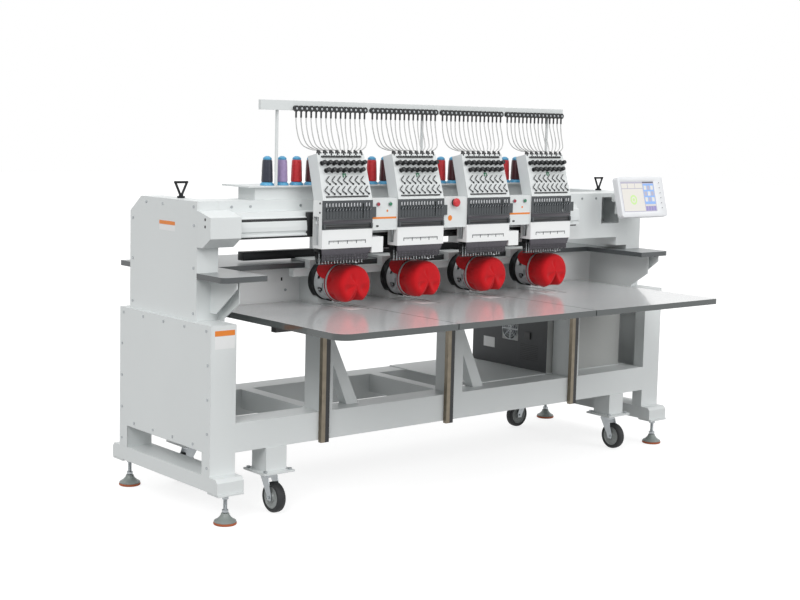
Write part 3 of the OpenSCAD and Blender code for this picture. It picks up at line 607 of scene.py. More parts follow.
NODE_FINISH = {
    "white paint": ("stand_frame", "side_covers", "columns", "head_beam", "beam_covers",
                    "side_plates", "sewing_arms", "tension_boxes", "button_panels",
                    "screen_bracket", "thread_tray", "thread_tree", "cap_beam"),
    # painted light: the needle cases and the bed panel get a lighter copy of the white paint
    "paint with painted light": ("needle_cases", "bed_panel"),
    "grey paint": ("control_cabinet",),
    "upper board": ("upper_table",),
    "lower board": ("lower_table",),
    "oiled steel": ("slide_rails",),
    "zinc": ("fasteners",) + numbered("caster_fork"),
    "steel": ("needle_plates", "idle_needles", "active_needles", "active_levers"),
    "hook steel": numbered("hook"),
    "dark paint": ("head_castings",),
    "charcoal plastic": ("case_covers", "cabinet_fan"),
    "black plastic": ("thread_controls", "thread_guides", "table_sliders", "cabinet_inlet")
                     + numbered("cap_ring"),
    "black anodised": ("lifting_eyes",),
    "tyre": numbered("caster_wheel"),
    "foot enamel": ("levelling_feet",),
    "thread navy": ("thread_cones",),
    "cap cloth": numbered("cap"),
    "white plastic": ("screen",),
    "red plastic": ("emergency_stop",),
    "dark red plastic": numbered("stop_button", 2),
    "green plastic": numbered("start_button", 2),
}


class MACHINE_OT_finishes(Operator):
    """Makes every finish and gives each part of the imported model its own"""
    bl_idname = "machine.finishes"
    bl_label = "Finishes"

    def execute(self, context):
        make_finishes(context.scene.machine_colours)
        for name, nodes in NODE_FINISH.items():
            for node in nodes:
                dress(node, name)
        bare = [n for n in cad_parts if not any(n in nodes for nodes in NODE_FINISH.values())]
        if bare:
            raise RuntimeError(f"no finish for {bare}")
        return {"FINISHED"}


# ---- caps and their rings

def smooth_step(low, high, value):
    """0 below the low value, 1 above the high one, a smooth ramp between them."""
    t = min(1.0, max(0.0, (value - low) / (high - low)))
    return t * t * (3 - 2 * t)


def hump(distance, width):
    """1 at no distance, falling smoothly to 0 at the width."""
    return 1 - smooth_step(0, width, abs(distance))


def turn_between(a, b):
    """Smallest angle in degrees between two directions."""
    return abs((a - b + 180) % 360 - 180)


class MACHINE_OT_caps(Operator):
    """Builds the four soft caps: crown, button, taped rim and the peak bent round the ring"""
    bl_idname = "machine.caps"
    bl_label = "Caps"

    front, middle, rim = 30.0, 113.0, 150.0
    rim_radius = 80.9
    # folds pressed inwards: depth in mm, place in degrees, way it leans, half width in degrees,
    # then the middle and reach in mm along y
    folds = ((32, -70, 1, 21, 58, 48), (9, 216, 1, 20, 112, 36), (6, 170, -1, 14, 116, 34),
             (6, 20, 1, 16, 116, 34))
    # dents pressed back into the front: the same, with the middle and reach along the radius
    dents = ((9, -28, 1, 34, 46, 30), (8, 205, -1, 30, 40, 30), (5, 118, 1, 18, 36, 26))

    def execute(self, context):
        sizes = context.scene.machine_sizes
        for number, x in enumerate(HEADS, 1):
            crown = self.crown(number, x, sizes)
            peak = self.peak(number, x)
            trim = self.trim(number, x)
            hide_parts(f"cap_{number}")
            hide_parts(f"cap_{number}")
            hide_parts(f"cap_{number}")
        return {"FINISHED"}

    @staticmethod
    def sewn(part, number, bm, finishes, smooth):
        """One part of a cap, which turns with its ring."""
        return piece(f"cap_{part}_{number}", bm, f"ring_body_{number}", finishes,
                     smooth)

    @staticmethod
    def pressed(rows, angle, along, side):
        """Depth in mm of the folds or dents at one place of the cloth."""
        return sum(depth * hump(turn_between(angle, place + lean * side), width)
                   * hump(along - middle, reach)
                   for depth, place, lean, width, middle, reach in rows)

    def crown(self, number, x, sizes):
        """A ball of cloth, kept full round the arm's nose, with sewn panels and soft folds."""
        radius = sizes.cap_radius / MM
        reach = math.acos(-(self.rim - self.middle) / radius * 0.82)
        outline = []
        for i in range(41):
            t = reach * i / 40
            outline.append((radius * math.sin(t), self.middle - radius * math.cos(t)))
        outline[-1] = (self.rim_radius, self.rim)
        bm = bmesh.new()
        lathe(bm, outline, (x, 0, CAP_RING_Z), "Y", steps=144)
        centre = at(x, 0, CAP_RING_Z)
        for v in bm.verts:
            v.co = centre + self.draped(v.co - centre, radius, sizes.cap_panels, number)
        bmesh.ops.recalc_face_normals(bm, faces=bm.faces)
        bmesh.ops.solidify(bm, geom=bm.faces[:], thickness=sizes.cloth_wall)
        return self.sewn("crown", number, bm, ["cap cloth"], 70)

    def draped(self, flat, radius, panels, number):
        """Where a point of the ball comes to lie in the worn cloth, from the cap's centre."""
        squareness = 0.30
        facet_depth = 0.42
        seed = Vector((number * 3.7, 0, 0))
        handed = 1 if number % 2 else -1
        y = flat.y / MM
        r = math.hypot(flat.x, flat.z) / MM
        angle = math.degrees(math.atan2(flat.z, flat.x))
        t = math.atan2(r, self.middle - y)
        # over the nose the crown is squarer than a ball
        full_r = radius * abs(math.sin(t)) ** squareness
        full_y = y
        if y < self.middle:
            full_y = self.middle - (radius - 0.5) * max(math.cos(t), 0) ** squareness
        # the nose passes under this part of the cloth when the ring turns
        top = (1 - smooth_step(146, 170, turn_between(angle, 90))) * smooth_step(4, 30, r)
        # towards the rim the cloth keeps to the round ring
        fade = smooth_step(self.rim, self.middle - 8, y)
        r += (full_r - r) * top * fade
        y += (full_y - y) * top * fade
        seam = turn_between(angle * panels, 90 * panels) / panels
        press = self.pressed(self.folds, angle, y, 4 * handed)
        room = 1 - top * (1 - smooth_step(96, 112, y))
        # slack about 40 mm wide and creases half as wide between it, both a few mm deep
        wave = noise.noise(Vector((flat.x, flat.y, flat.z)) * 26 + seed) * 3.4
        wave += (1 - abs(noise.noise(Vector((flat.x, flat.y * 0.6, flat.z)) * 48 + seed)) * 2) * 1.6
        # each sewn panel is nearly flat across, so the crown is a soft six-sided dome
        half_panel = math.pi / panels
        off = half_panel - math.radians(seam)
        press += facet_depth * r * (1 - math.cos(half_panel) / math.cos(off))
        groove = 0.9 * hump(seam, 60 / max(r, 12)) * smooth_step(6, 20, r)
        calm = smooth_step(self.rim - 1, self.rim - 22, y)
        dent = self.pressed(self.dents, angle, r, 5 * handed)
        dent = dent * smooth_step(8, 20, r) * (1 - smooth_step(62, 76, r))
        y += dent + max(0, wave) * smooth_step(60, 40, r) * 0.8
        r -= max(0, (press + wave + 0.4) * calm * room) + groove
        ray = Vector((math.cos(math.radians(angle)), 0, math.sin(math.radians(angle))))
        return ray * max(r, 0) * MM + Vector((0, y * MM, 0))

    def peak(self, number, x):
        """The stiff peak: a crescent bent round the ring, from the rim back to the flange."""
        bm = bmesh.new()
        bmesh.ops.create_grid(bm, x_segments=56, y_segments=16, size=1)
        centre = at(x, 0, CAP_RING_Z)
        middle, half_angle, longest, start = 113, 54, 86, 146
        for v in bm.verts:
            # u runs from tip to tip, w from the rim to the crescent's outer edge
            u, w = v.co.x, (v.co.y + 1) / 2
            angle = math.radians(middle + half_angle * u)
            depth = longest * (1 - abs(u) ** 2.6) ** 0.55
            y = start + depth * w
            r = 85.4 - 0.9 * (1 - w) + 0.5 * math.sin(w * math.pi)
            v.co = centre + Vector((math.cos(angle) * r * MM, y * MM, math.sin(angle) * r * MM))
        # the crescent's rows meet at its two tips
        bmesh.ops.remove_doubles(bm, verts=bm.verts, dist=2e-4)
        bmesh.ops.recalc_face_normals(bm, faces=bm.faces)
        bmesh.ops.solidify(bm, geom=bm.faces[:], thickness=0.0010)
        return self.sewn("peak", number, bm, ["cap cloth"], 50)

    def trim(self, number, x):
        """The button at the crown's pole, the taped rim and the sweatband's edge."""
        bm = bmesh.new()
        lathe(bm, [(0, -1.5), (4, -1.2), (6.5, 0.4), (7.2, 2.2), (6.2, 3.4), (0, 3.4)],
              (x, self.front + 1.6, CAP_RING_Z), "Y", 24)
        lathe(bm, [(80.8, 0), (82.6, 0.4), (83.0, 2), (82.6, 3.6), (80.8, 4)],
              (x, self.rim - 3, CAP_RING_Z), "Y", 96, material=1, closed=True)
        box(bm, (x - 24, x - 2), (138, 178), (CAP_RING_Z + 79.5, CAP_RING_Z + 84.6), 1.6,
            segments=3)
        return self.sewn("trim", number, bm, ["cap cloth", "cap dark cloth"], 40)


class MACHINE_OT_rings(Operator):
    """Builds the four cap rings: black drive flange, slotted steel band, rim clip and clamps"""
    bl_idname = "machine.rings"
    bl_label = "Cap rings"

    def execute(self, context):
        for number, x in enumerate(HEADS, 1):
            body = f"ring_body_{number}"
            band = self.band(number, x, body)
            flange = self.flange(number, x, body)
            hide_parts(f"cap_ring_{number}")
            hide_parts(f"cap_ring_{number}")
        return {"FINISHED"}

    @staticmethod
    def band(number, x, body):
        """Rolled steel band with two rows of long slots, and the bright clip that grips the cap."""
        bm = bmesh.new()
        rows = (138, 150, 154, 160, 168, 176, 186, 194, 202, 212, FLANGE_Y)
        lathe(bm, [(80.4, y) for y in rows], (x, 0, CAP_RING_Z), "Y", steps=96)
        centre = at(x, 0, CAP_RING_Z)
        holes = []
        column_degrees = 3.75
        for f in bm.faces:
            flat = f.calc_center_median() - centre
            y = flat.y / MM
            column = int((math.degrees(math.atan2(flat.z, flat.x)) % 360) / column_degrees)
            first = 160 < y < 168 and column % 8 in (0, 1, 2, 3, 4)
            second = 186 < y < 202 and column % 12 in (6, 7, 8)
            if first or second:
                holes.append(f)
        bmesh.ops.delete(bm, geom=holes, context="FACES")
        bmesh.ops.recalc_face_normals(bm, faces=bm.faces)
        bmesh.ops.solidify(bm, geom=bm.faces[:], thickness=0.0022)
        lathe(bm, [(80.5, 0), (82.4, 0.6), (82.6, 4.5), (81.4, 6), (80.5, 6)],
              (x, 153.5, CAP_RING_Z), "Y", 96, closed=True)
        return piece(f"cap_band_{number}", bm, body, ["silver lacquer"], 30)

    @staticmethod
    def flange(number, x, body):
        """Black anodised drive flange with a stepped rim, bolts, and the clamps on the band."""
        bm = bmesh.new()
        lathe(bm, [(66.3, 0), (82.8, 0), (84, 1.2), (84, 12.8), (82.8, 14), (66.3, 14)],
              (x, FLANGE_Y, CAP_RING_Z), "Y", 128, closed=True)
        lathe(bm, [(77.2, -5), (81.8, -5), (82.4, -4), (82.4, 0.2), (77.2, 0.2)],
              (x, FLANGE_Y, CAP_RING_Z), "Y", 128, closed=True)

        def clamp(b):
            box(b, (80.2, 86), (-12, 12), (-7, 7), 1.2)
            box(b, (84, 86.3), (-8, 3), (-4, 4), 0.6, material=1)
            lathe(b, [(0, 0), (3.2, 0), (3.4, 0.4), (3.4, 2.0), (3.0, 2.4), (0, 2.4)], (84, 7, 0),
                  "X", 12, material=1)

        def bolt(b):
            lathe(b, screw_head(3.6, 3.0, -2.4, -3.2), (75.5, 0, 0), "Y", 16, material=1)
        for build, y, angles in ((clamp, 184, (200, 250, 290, 340)),
                                 (bolt, 223.8, range(15, 360, 45))):
            stamp(bm, pattern(build), [move(x, y, CAP_RING_Z, turned(-a, "Y")) for a in angles])
        return piece(f"cap_flange_{number}", bm, body, ["black anodised", "steel"],
                     35)


# ---- thread

class MACHINE_OT_cones(Operator):
    """Builds the twenty thread cones with their wound thread, foot and tip"""
    bl_idname = "machine.cones"
    bl_label = "Thread cones"

    # the first cone of each head stands this far to its left, in mm
    first = 354
    colours = ("thread navy", "thread lilac", "thread red", "thread wine", "thread black")

    def execute(self, context):
        def cone(b):
            lathe(b, [(0, 0), (28, 0), (28.8, 1.2), (28.4, 5), (26, 9), (22, 13), (0, 13)],
                  steps=28)
            lathe(b, [(0, 105), (17.6, 105), (18.2, 107), (17.4, 112), (12, 117), (6, 119.8),
                      (0, 119.8)], steps=24)
            lathe(b, [(0, 13.1), (21, 13.1), (23.8, 16), (24, 22), (22.4, 60), (20.6, 96),
                      (19.4, 103), (17, 104.9), (0, 104.9)], steps=32, material=1)
        mesh = pattern(cone)
        made = []
        for i, colour in enumerate(self.colours):
            bm = bmesh.new()
            stamp(bm, mesh, [move(x - self.first + CONE_PITCH * i, CONE_Y, TRAY_Z) for x in HEADS])
            made.append(piece(f"thread_cones_{i + 1}", bm, "machine_frame",
                              ["cone plastic", colour], 35, tidy=False))
        for obj in made:
            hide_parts("thread_cones")
        return {"FINISHED"}


def smooth_path(points, steps):
    """Points along a Catmull-Rom curve through the given layout points."""
    ends = [points[0]] + list(points) + [points[-1]]
    path = []
    for a, b, c, d in zip(ends, ends[1:], ends[2:], ends[3:]):
        a, b, c, d = (Vector(p) for p in (a, b, c, d))
        for i in range(steps):
            t = i / steps
            path.append(((b * 2) + (c - a) * t + (a * 2 - b * 5 + c * 4 - d) * t ** 2
                         + (b * 3 - a - c * 3 + d) * t ** 3) / 2)
    return [tuple(p) for p in path] + [tuple(points[-1])]


class MACHINE_OT_tubes(Operator):
    """Builds the sixty thread tubes, which hang from the thread stand to the needle cases"""
    bl_idname = "machine.tubes"
    bl_label = "Thread tubes"

    def execute(self, context):
        sizes = context.scene.machine_sizes
        sag = sizes.tube_sag / MM
        chance = random.Random(11)
        for number, x in enumerate(CASES, 1):
            paths = []
            for i in NEEDLES:
                top, foot = x + i * GUIDE_PITCH, x + i * NEEDLE_PITCH
                over = foot - top
                bow = sag * (i / NEEDLES[-1]) + chance.uniform(-3, 3)
                deep = chance.uniform(-3, 5)
                # straight down out of the guide, a lean towards the needle, then down to it
                paths.append(smooth_path([
                    (top, 128, 1592), (top, 128, 1576),
                    (top + over * 0.05 + bow * 0.3, 121 - deep, 1538),
                    (top + over * 0.16 + bow * 0.6, 108 - deep, 1500),
                    (top + over * 0.36 + bow * 0.6, 95, 1476), (foot - over * 0.28, 82, 1462),
                    (foot - over * 0.02, 71, 1460), (foot, 67, 1450)], 5))
            tubes = wires(f"thread_tubes_{number}", paths, sizes.tube_radius / MM, None,
                          "tube")
            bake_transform(tubes)
        return {"FINISHED"}


# ---- needle cases

def on_slope(x, u, v, out=0.0):
    """Matrix to the sloping face of a case: u across, v up the slope, out away from it, in mm."""
    lean = Matrix.Rotation(-TENSION_LEAN, 4, "X")
    face = Matrix.Rotation(math.pi / 2, 4, "X")
    return (Matrix.Translation(at(x, 0, CASE_TOP)) @ lean @ Matrix.Translation((u * MM, 0, v * MM))
            @ face @ Matrix.Translation((0, 0, out * MM)))


class MACHINE_OT_controls(Operator):
    """Builds the thread controls on each case: tension dials, check springs, guides and bars"""
    bl_idname = "machine.controls"
    bl_label = "Thread controls"

    dial_pitch = 30
    post = (9, -15)

    def execute(self, context):
        def dial(b):
            # two pressed discs that pinch the thread, the spring's recess and the knurled nut
            discs = [(0, 0), (9.5, 0), (10.2, 0.8), (9.8, 2), (5, 2.6), (5, 4.6), (9.4, 5.2),
                     (9.4, 6.2), (5, 6.8)]
            nut = [(4.2, 7.4), (4.4, 12), (8.4, 12.4), (9.2, 13.4), (9.4, 18), (9, 25), (8, 26.6),
                   (4.4, 27), (3.8, 26), (0, 26)]
            lathe(b, discs + nut, steps=20)

        def spring_post(b):
            lathe(b, [(0, 0), (4, 0), (4.4, 1), (4, 4), (3, 5), (0, 5)], (*self.post, 0), "Z", 14)

        def stub(b):
            lathe(b, [(0, -4), (6.4, -4), (6.8, -3), (6.8, 9), (5.6, 12), (4.6, 13), (4.4, 18),
                      (3, 19), (0, 19)], steps=12)
        bm = bmesh.new()
        dials, posts, stubs, faces = [], [], [], []
        for x in CASES:
            # two rows of eight and seven, set between each other
            eight = [(i - 3.5) * self.dial_pitch for i in range(8)]
            seven = [(i - 3) * self.dial_pitch for i in range(7)]
            dials += [on_slope(x, u, 157) for u in eight] + [on_slope(x, u, 126) for u in seven]
            posts += [on_slope(x, u, 84) for u in seven] + [on_slope(x, u, 42) for u in eight]
            stubs += [on_slope(x, i * NEEDLE_PITCH, 196, out=-12 + 7 * (i % 2))
                      @ Matrix.Rotation(-math.pi / 2, 4, "X") for i in NEEDLES]
            faces.append(on_slope(x, 0, 0))
        stamp(bm, pattern(dial), dials)
        stamp(bm, pattern(spring_post), posts)
        stamp(bm, pattern(stub), stubs)
        stamp(bm, pattern(self.bars), faces)
        dials = piece("tension_dials", bm, "colour_carriage",
                      ["black plastic", "green plastic"], 35, tidy=False)
        for obj in (dials, self.springs(posts)):
            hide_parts("thread_controls")
        return {"FINISHED"}

    @staticmethod
    def bars(bm):
        """The eyelet bar above the dials, the guide bar at the foot and the power lamp."""
        box(bm, (-104, 104), (182, 188), (0, 5), 1.0)
        for i in NEEDLES:
            lathe(bm, [(2.4, 4.6), (4.4, 4.6), (4.8, 5.6), (4.4, 6.6), (2.4, 6.6)],
                  (i * 13.2, 185, 0), "Z", 12, closed=True)
        box(bm, (-112, 108), (13, 19), (0, 3.4), 1.0)
        box(bm, (-9, -3), (96, 114), (0, 2.4), 1.0, material=1)
        box(bm, (-3, 9), (108, 114), (0, 2.4), 1.0, material=1)
        box(bm, (4, 9), (99, 108), (0, 2.4), 1.0, material=1)

    def springs(self, posts):
        """Bent check springs of dark wire, one at each post."""
        bend = [(9, 17, 3.5), (7, 16, 4.5), (-8, 3, 4.5), (-10, 0, 4.5), (-8, -3, 4.5), (7, -14, 4),
                (*self.post, 3.5)]
        paths = []
        origin = at(0, 0, 0)
        for matrix in posts:
            spots = [matrix @ (Vector(p) * MM) for p in bend]
            paths.append([tuple((s - origin) / MM) for s in spots])
        return wires("check_springs", paths, 2.0, "colour_carriage",
                     "black plastic")


class MACHINE_OT_case_fronts(Operator):
    """Adds the strips, scale, screws and needle gear that show on the front of each needle case"""
    bl_idname = "machine.case_fronts"
    bl_label = "Case fronts"

    def execute(self, context):
        dark, pale, gear = bmesh.new(), bmesh.new(), bmesh.new()
        each, idle = pattern(self.needle_parts), pattern(self.idle_parts)
        for x in CASES:
            self.strips(dark, x)
            self.scale(pale, x)
            self.rail(gear, x)
            needles = {i: move(x + i * NEEDLE_PITCH, 0, 0) for i in NEEDLES}
            stamp(gear, each, needles.values())
            needles.pop(NEEDLE_IN_USE)
            stamp(gear, idle, needles.values())
        piece("case_strips", dark, "colour_carriage",
              ["charcoal plastic", "smoked acrylic", "black plastic", "zinc"], 40)
        piece("case_scales", pale, "colour_carriage", ["print"], 40)
        piece("needle_gear", gear, "colour_carriage",
              ["black plastic", "hook steel", "charcoal plastic", "white plastic",
               "smoked plastic"], 40)
        return {"FINISHED"}

    @staticmethod
    def strips(bm, x):
        """The smoked strip, the foam roller above the plate and the screws of the side walls."""
        left, right = x - CASE_HALF + 3, x + CASE_HALF - 3
        box(bm, (left, right), (-1.2, 0.4), (1163, 1176), 0.5, material=1)
        box(bm, (left, right), (-2.2, 0.4), (1176.5, 1180), 0.8)
        roller, hub = 7.4, 6.2
        lathe(bm, [(0, left), (hub, left + 0.4), (roller, left + 2), (roller, right - 2),
                   (hub, right - 0.4), (0, right)], (0, 2, 1151), "X", 20, material=2)
        # a holder at each end of the roller
        for low, high in ((left, left + 9), (right - 9, right)):
            box(bm, (low, high), (-7.5, 3), (1141.5, 1160.5), 1.2)
        for z in (1208, 1246):
            lathe(bm, screw_head(4.2, 3.2, -1.4, -2.4), (x - CASE_HALF, 17, z), "X", 16, material=2)
            lathe(bm, screw_head(4.2, 3.2, 1.4, 2.4), (x + CASE_HALF, 44, z - 4), "X", 16,
                  material=2)
        # the slots in which the levers of the needles move
        half_slot = 4.4
        for middle in (x + i * NEEDLE_PITCH for i in NEEDLES):
            box(bm, (middle - half_slot, middle + half_slot), (-0.9, 0.3), (1245, 1248), 0.3)

    @staticmethod
    def scale(bm, x):
        """A plain tick scale for the needle positions, printed on the plate."""
        pitch, line_z = 3.4, 1092
        for i in range(-28, 29):
            tall, wide = (13, 2.2) if i % 14 == 0 else (7 if i % 7 == 0 else 5, 0.9)
            middle = x + i * pitch
            box(bm, (middle - wide, middle + wide), (-0.25, 0.1), (line_z - tall, line_z), 0)
        box(bm, (x - 97, x + 97), (-0.2, 0.1), (line_z, line_z + 1.6), 0)

    @staticmethod
    def rail(bm, x):
        """The dark rail over the needles, the plate behind them and the fringe before them."""
        half, fringe_top, comb_top = 124, 1059.6, 1034
        box(bm, (x - half, x + half), (30, 62), (1046, 1059.5), 1.5)
        prism(bm, [(x - half, 1047), (x - 112, 997), (x + 92, 997), (x + half, 1047)], "Y",
              61.3, 63.4)
        prism(bm, [(x - 129, fringe_top), (x - 126, comb_top), (x + 117, comb_top),
                   (x + 129, fringe_top)], "Y", 3, 9, 0.8, material=4)
        # thirty teeth of three lengths hang from the fringe, tied by four thin bars
        for i in range(30):
            left = x - half + i * 8.05
            box(bm, (left, left + 5.6), (5, 8), (1006 + 4 * (i % 3), comb_top + 0.5), 0.5,
                material=4)
        for i in range(4):
            low = 1012 + i * 11
            box(bm, (x - 120, x + 116 - 5 * i), (4.4, 8.6), (low, low + 2), 0.4)

    @staticmethod
    def idle_parts(bm):
        """Clamp and foot of a needle that isn't in use, the tip of its lever and its slot."""
        box(bm, (-5.2, 5.2), (50.2, 61.2), (1015.6, 1032.6), 0.8)
        box(bm, (-5.8, 5.8), (38.8, 63.3), (991.7, 994.8), 0.6, material=2)
        box(bm, (-1.2, 1.2), (-3.5, 2.5), (1231, 1246), 0.6, material=3)
        box(bm, (-2.9, 2.9), (1.2, 2.6), (1183, 1226), 0.2, material=2)

    @staticmethod
    def needle_parts(bm):
        """Clamp, guides and spring of one needle, about its own axis."""
        box(bm, (-5.4, 5.4), (50.2, 61.2), (1033, 1046), 1.0)
        disc(bm, 1.0, 0, 10, (0, 55, 1004), "Z", 8, material=1)
        lathe(bm, [(3.6, 0), (4.6, 0), (4.6, 12), (3.6, 12)], (0, 56, 1034), "Z", 12, material=2,
              closed=True)
        lathe(bm, [(2.2, 0), (4.6, 0.4), (4.6, 9), (2.2, 9.4)], (0, 43, 1036), "Z", 12, material=2,
              closed=True)
        for ring in range(7):
            lathe(bm, [(2.2, 0), (3.6, 0.5), (3.6, 1.4), (2.2, 1.9)], (0, 43, 1000 + ring * 5),
                  "Z", 10, material=2, closed=True)


# ---- screen

class MACHINE_OT_screen(Operator):
    """Builds the tilting screen: moulded housing, display with a plain layout, keys and hinge"""
    bl_idname = "machine.screen"
    bl_label = "Screen"

    lean = turned(-14.5, "X")
    spot = (955, -62, 1150)
    wide, tall = 335, 200

    def settle(self, bm):
        """Takes a screen built upright at the layout's zero point to its leaning place."""
        matrix = Matrix.Translation(at(*self.spot)) @ self.lean @ Matrix.Translation(-at(0, 0, 0))
        bmesh.ops.transform(bm, matrix=matrix, verts=bm.verts)

    def execute(self, context):
        for colour, code, strength in (("beige", "cfccc6", 0.275), ("blue", "86a9dd", 0.25),
                                       ("violet", "8d86b8", 0.225), ("dark", "3a3b46", 0.2),
                                       ("green", "b9d694", 0.25), ("grey", "a9a6b6", 0.25)):
            name = "display " + colour
            FINISHES[name] = glow(name, code, strength)
        shell = bmesh.new()
        self.housing(shell)
        self.settle(shell)
        # the hinge: two lugs on the bracket's pin and the bridge that joins them
        for left in (1111, 1156):
            box(shell, (left, left + 13), (-8, 52), (1226, 1250), 3)
        box(shell, (1100, 1180), (-14, 4), (1222, 1254), 3)
        shell = piece("screen_housing", shell, "screen_unit",
                      ["white plastic", "black plastic", "print"], 40)
        glass = bmesh.new()
        self.display(glass)
        self.settle(glass)
        glass = piece("screen_display", glass, "screen_unit",
                      ["display grey", "display beige", "display blue", "display violet",
                       "display dark", "display green"], 40)
        for obj in (shell, glass):
            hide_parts("screen")
        return {"FINISHED"}

    @staticmethod
    def ring(bm, left, right, low, high, radius, y):
        """A closed ring of edges: a rectangle with round corners, seven points to each."""
        verts = []
        for u, w, start in ((right - radius, high - radius, 0),
                            (left + radius, high - radius, 90),
                            (left + radius, low + radius, 180),
                            (right - radius, low + radius, 270)):
            for i in range(7):
                a = math.radians(start + 15 * i)
                spot = at(u + radius * math.cos(a), y, w + radius * math.sin(a))
                verts.append(bm.verts.new(spot))
        return [bm.edges.new((a, b)) for a, b in zip(verts, verts[1:] + verts[:1])]

    def housing(self, bm):
        """Two half shells with round corners, a sloping surround about the display, and keys."""
        def shell(grow, y):
            """The housing's outline, grown by some mm."""
            return self.ring(bm, -grow, self.wide + grow, -grow, self.tall + grow, 14 + grow, y)

        def window(grow, y):
            """The display's opening, with as many corners as the housing's outline."""
            return self.ring(bm, 20 - grow, 265 + grow, 26 - grow, 176 + grow, 1 + max(grow, 0), y)
        rings = [window(-1, 3.4), window(0, 3.2), window(4, 0.4), window(5, 0)]
        rings += [shell(grow, y) for grow, y in (
            (-4, 0), (-1.2, 1.2), (0, 4), (0, 15), (-0.8, 15.4), (-0.8, 16.6), (0, 17), (0, 31),
            (-1.2, 33.8), (-5, 35))]
        for a, b in zip(rings, rings[1:]):
            bmesh.ops.bridge_loops(bm, edges=a + b)
        bmesh.ops.holes_fill(bm, edges=rings[0], sides=0)
        bmesh.ops.holes_fill(bm, edges=rings[-1], sides=0)
        for key in [(299, 0, 168 - i * 25) for i in range(6)]:
            lathe(bm, [(0, -1.4), (5.2, -1.4), (6.4, -0.8), (6.8, 0.2), (0, 0.2)], key, "Y", 24)
            disc(bm, 2.6, -1.7, -1.3, key, steps=12, material=2)
        box(bm, (120, 250), (34, 38), (30, 90), 2, material=1)

    @staticmethod
    def display(bm):
        """A plain generic layout: a pale work field, a tool column, a title bar and a key row."""
        def field(x, z, material, lift=0.0):
            box(bm, x, (2.7 - lift, 3.3), z, 0.15, material, segments=1)
        field((21, 264), (27, 175), 0)
        # the work field with three boxes above it, then the bar, the tool column and its footer
        for x, z, material in (((23, 178), (30, 140), 1), ((23, 66), (143, 167), 1),
                               ((70, 120), (143, 167), 1), ((123, 178), (143, 167), 1),
                               ((180, 262), (169, 174.5), 4), ((182, 260), (63, 165), 2),
                               ((182, 260), (55, 61), 1)):
            field(x, z, material, 0.1)
        for i in range(4):
            field((183 + i * 19.5, 199 + i * 19.5), (31, 52), 3, 0.2)
        for i in range(3):
            for k in range(3):
                field((187 + i * 24.5, 206 + i * 24.5), (76 + k * 29, 97 + k * 29),
                      0 if (i + k) % 2 else 1, 0.2)
        # a plain round motif in the work field stands in for a loaded design
        for r, material in ((24, 5), (15, 1), (8, 5)):
            disc(bm, r, 0, 0.3, (100, 2.3 - (24 - r) * 0.012, 86), steps=32, material=material)


# ---- running gear

class MACHINE_OT_wheels(Operator):
    """Builds the four caster wheels: rubber tyre, ribbed hub, thread guards and axle bolt"""
    bl_idname = "machine.wheels"
    bl_label = "Caster wheels"

    places = ((-1024, 8, "X"), (1024, 8, "X"), (-1061, 645, "Y"), (987, 645, "Y"))

    def execute(self, context):
        for number, (x, y, axis) in enumerate(self.places, 1):
            bm = bmesh.new()
            spot = (x, y, WHEEL_RADIUS)
            lathe(bm, mirrored([(45, -17), (52, -18.6), (57, -18), (60.8, -14), (62.3, -8),
                                (WHEEL_RADIUS, 0)]), spot, axis, 64, closed=True)
            lathe(bm, mirrored([(8, -19), (17, -19), (19, -17.5), (21, -12), (38, -11), (43, -16.5),
                                (44.9, -16.8)]), spot, axis, 48, material=1, closed=True)
            for side in (-1, 1):
                lathe(bm, [(0, side * 18.8), (9, side * 18.8), (9.4, side * 19.6),
                           (8.6, side * 20.6), (0, side * 20.6)], spot, axis, 12, material=2)
            wheel = piece(f"wheel_{number}", bm, f"wheel_body_{number}",
                          ["tyre", "hub", "zinc"], 35)
            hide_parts(f"caster_wheel_{number}")
        return {"FINISHED"}


class MACHINE_OT_feet(Operator):
    """Builds the four levelling feet: orange pad, enamelled bell, threaded stem and nuts"""
    bl_idname = "machine.feet"
    bl_label = "Levelling feet"

    def execute(self, context):
        bm = bmesh.new()

        def foot(b):
            lathe(b, [(0, 0), (43, 0), (45, 1.2), (46, 3), (46, 8), (45, 9.4), (0, 9.4)], steps=56,
                  material=1)
            lathe(b, [(0, 9.5), (43.5, 9.5), (44.6, 11), (44, 14.5), (41, 17), (34, 20.5), (27, 26),
                      (20.5, 33.5), (17.5, 38), (16.5, 43.5), (15, 45), (0, 45)], steps=56)
            thread = []
            for k in range(34):
                thread += [(8.0, 45 + k * 2.4), (7.1, 46.2 + k * 2.4)]
            lathe(b, [(0, 44)] + thread + [(7.6, 126), (0, 126)], steps=16, material=2)
            for z in (47, 100):
                lathe(b, [(8, 0), (12.6, 0), (14.4, 1.4), (14.4, 10.6), (12.6, 12), (8, 12)],
                      (0, 0, z), "Z", 6, material=2, closed=True)
            lathe(b, [(8, 0), (18, 0), (18.4, 0.6), (18, 1.8), (8, 1.8)], (0, 0, 112.4), "Z", 28,
                  material=2, closed=True)
        stamp(bm, pattern(foot), [move(x, y, 0) for x in (-1280, 1280) for y in (-25, 718)])
        feet = piece("feet", bm, "machine_frame", ["foot enamel", "orange pad", "zinc"],
                     35, tidy=False)
        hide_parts("levelling_feet")
        return {"FINISHED"}


# ---- covers, panels and labels

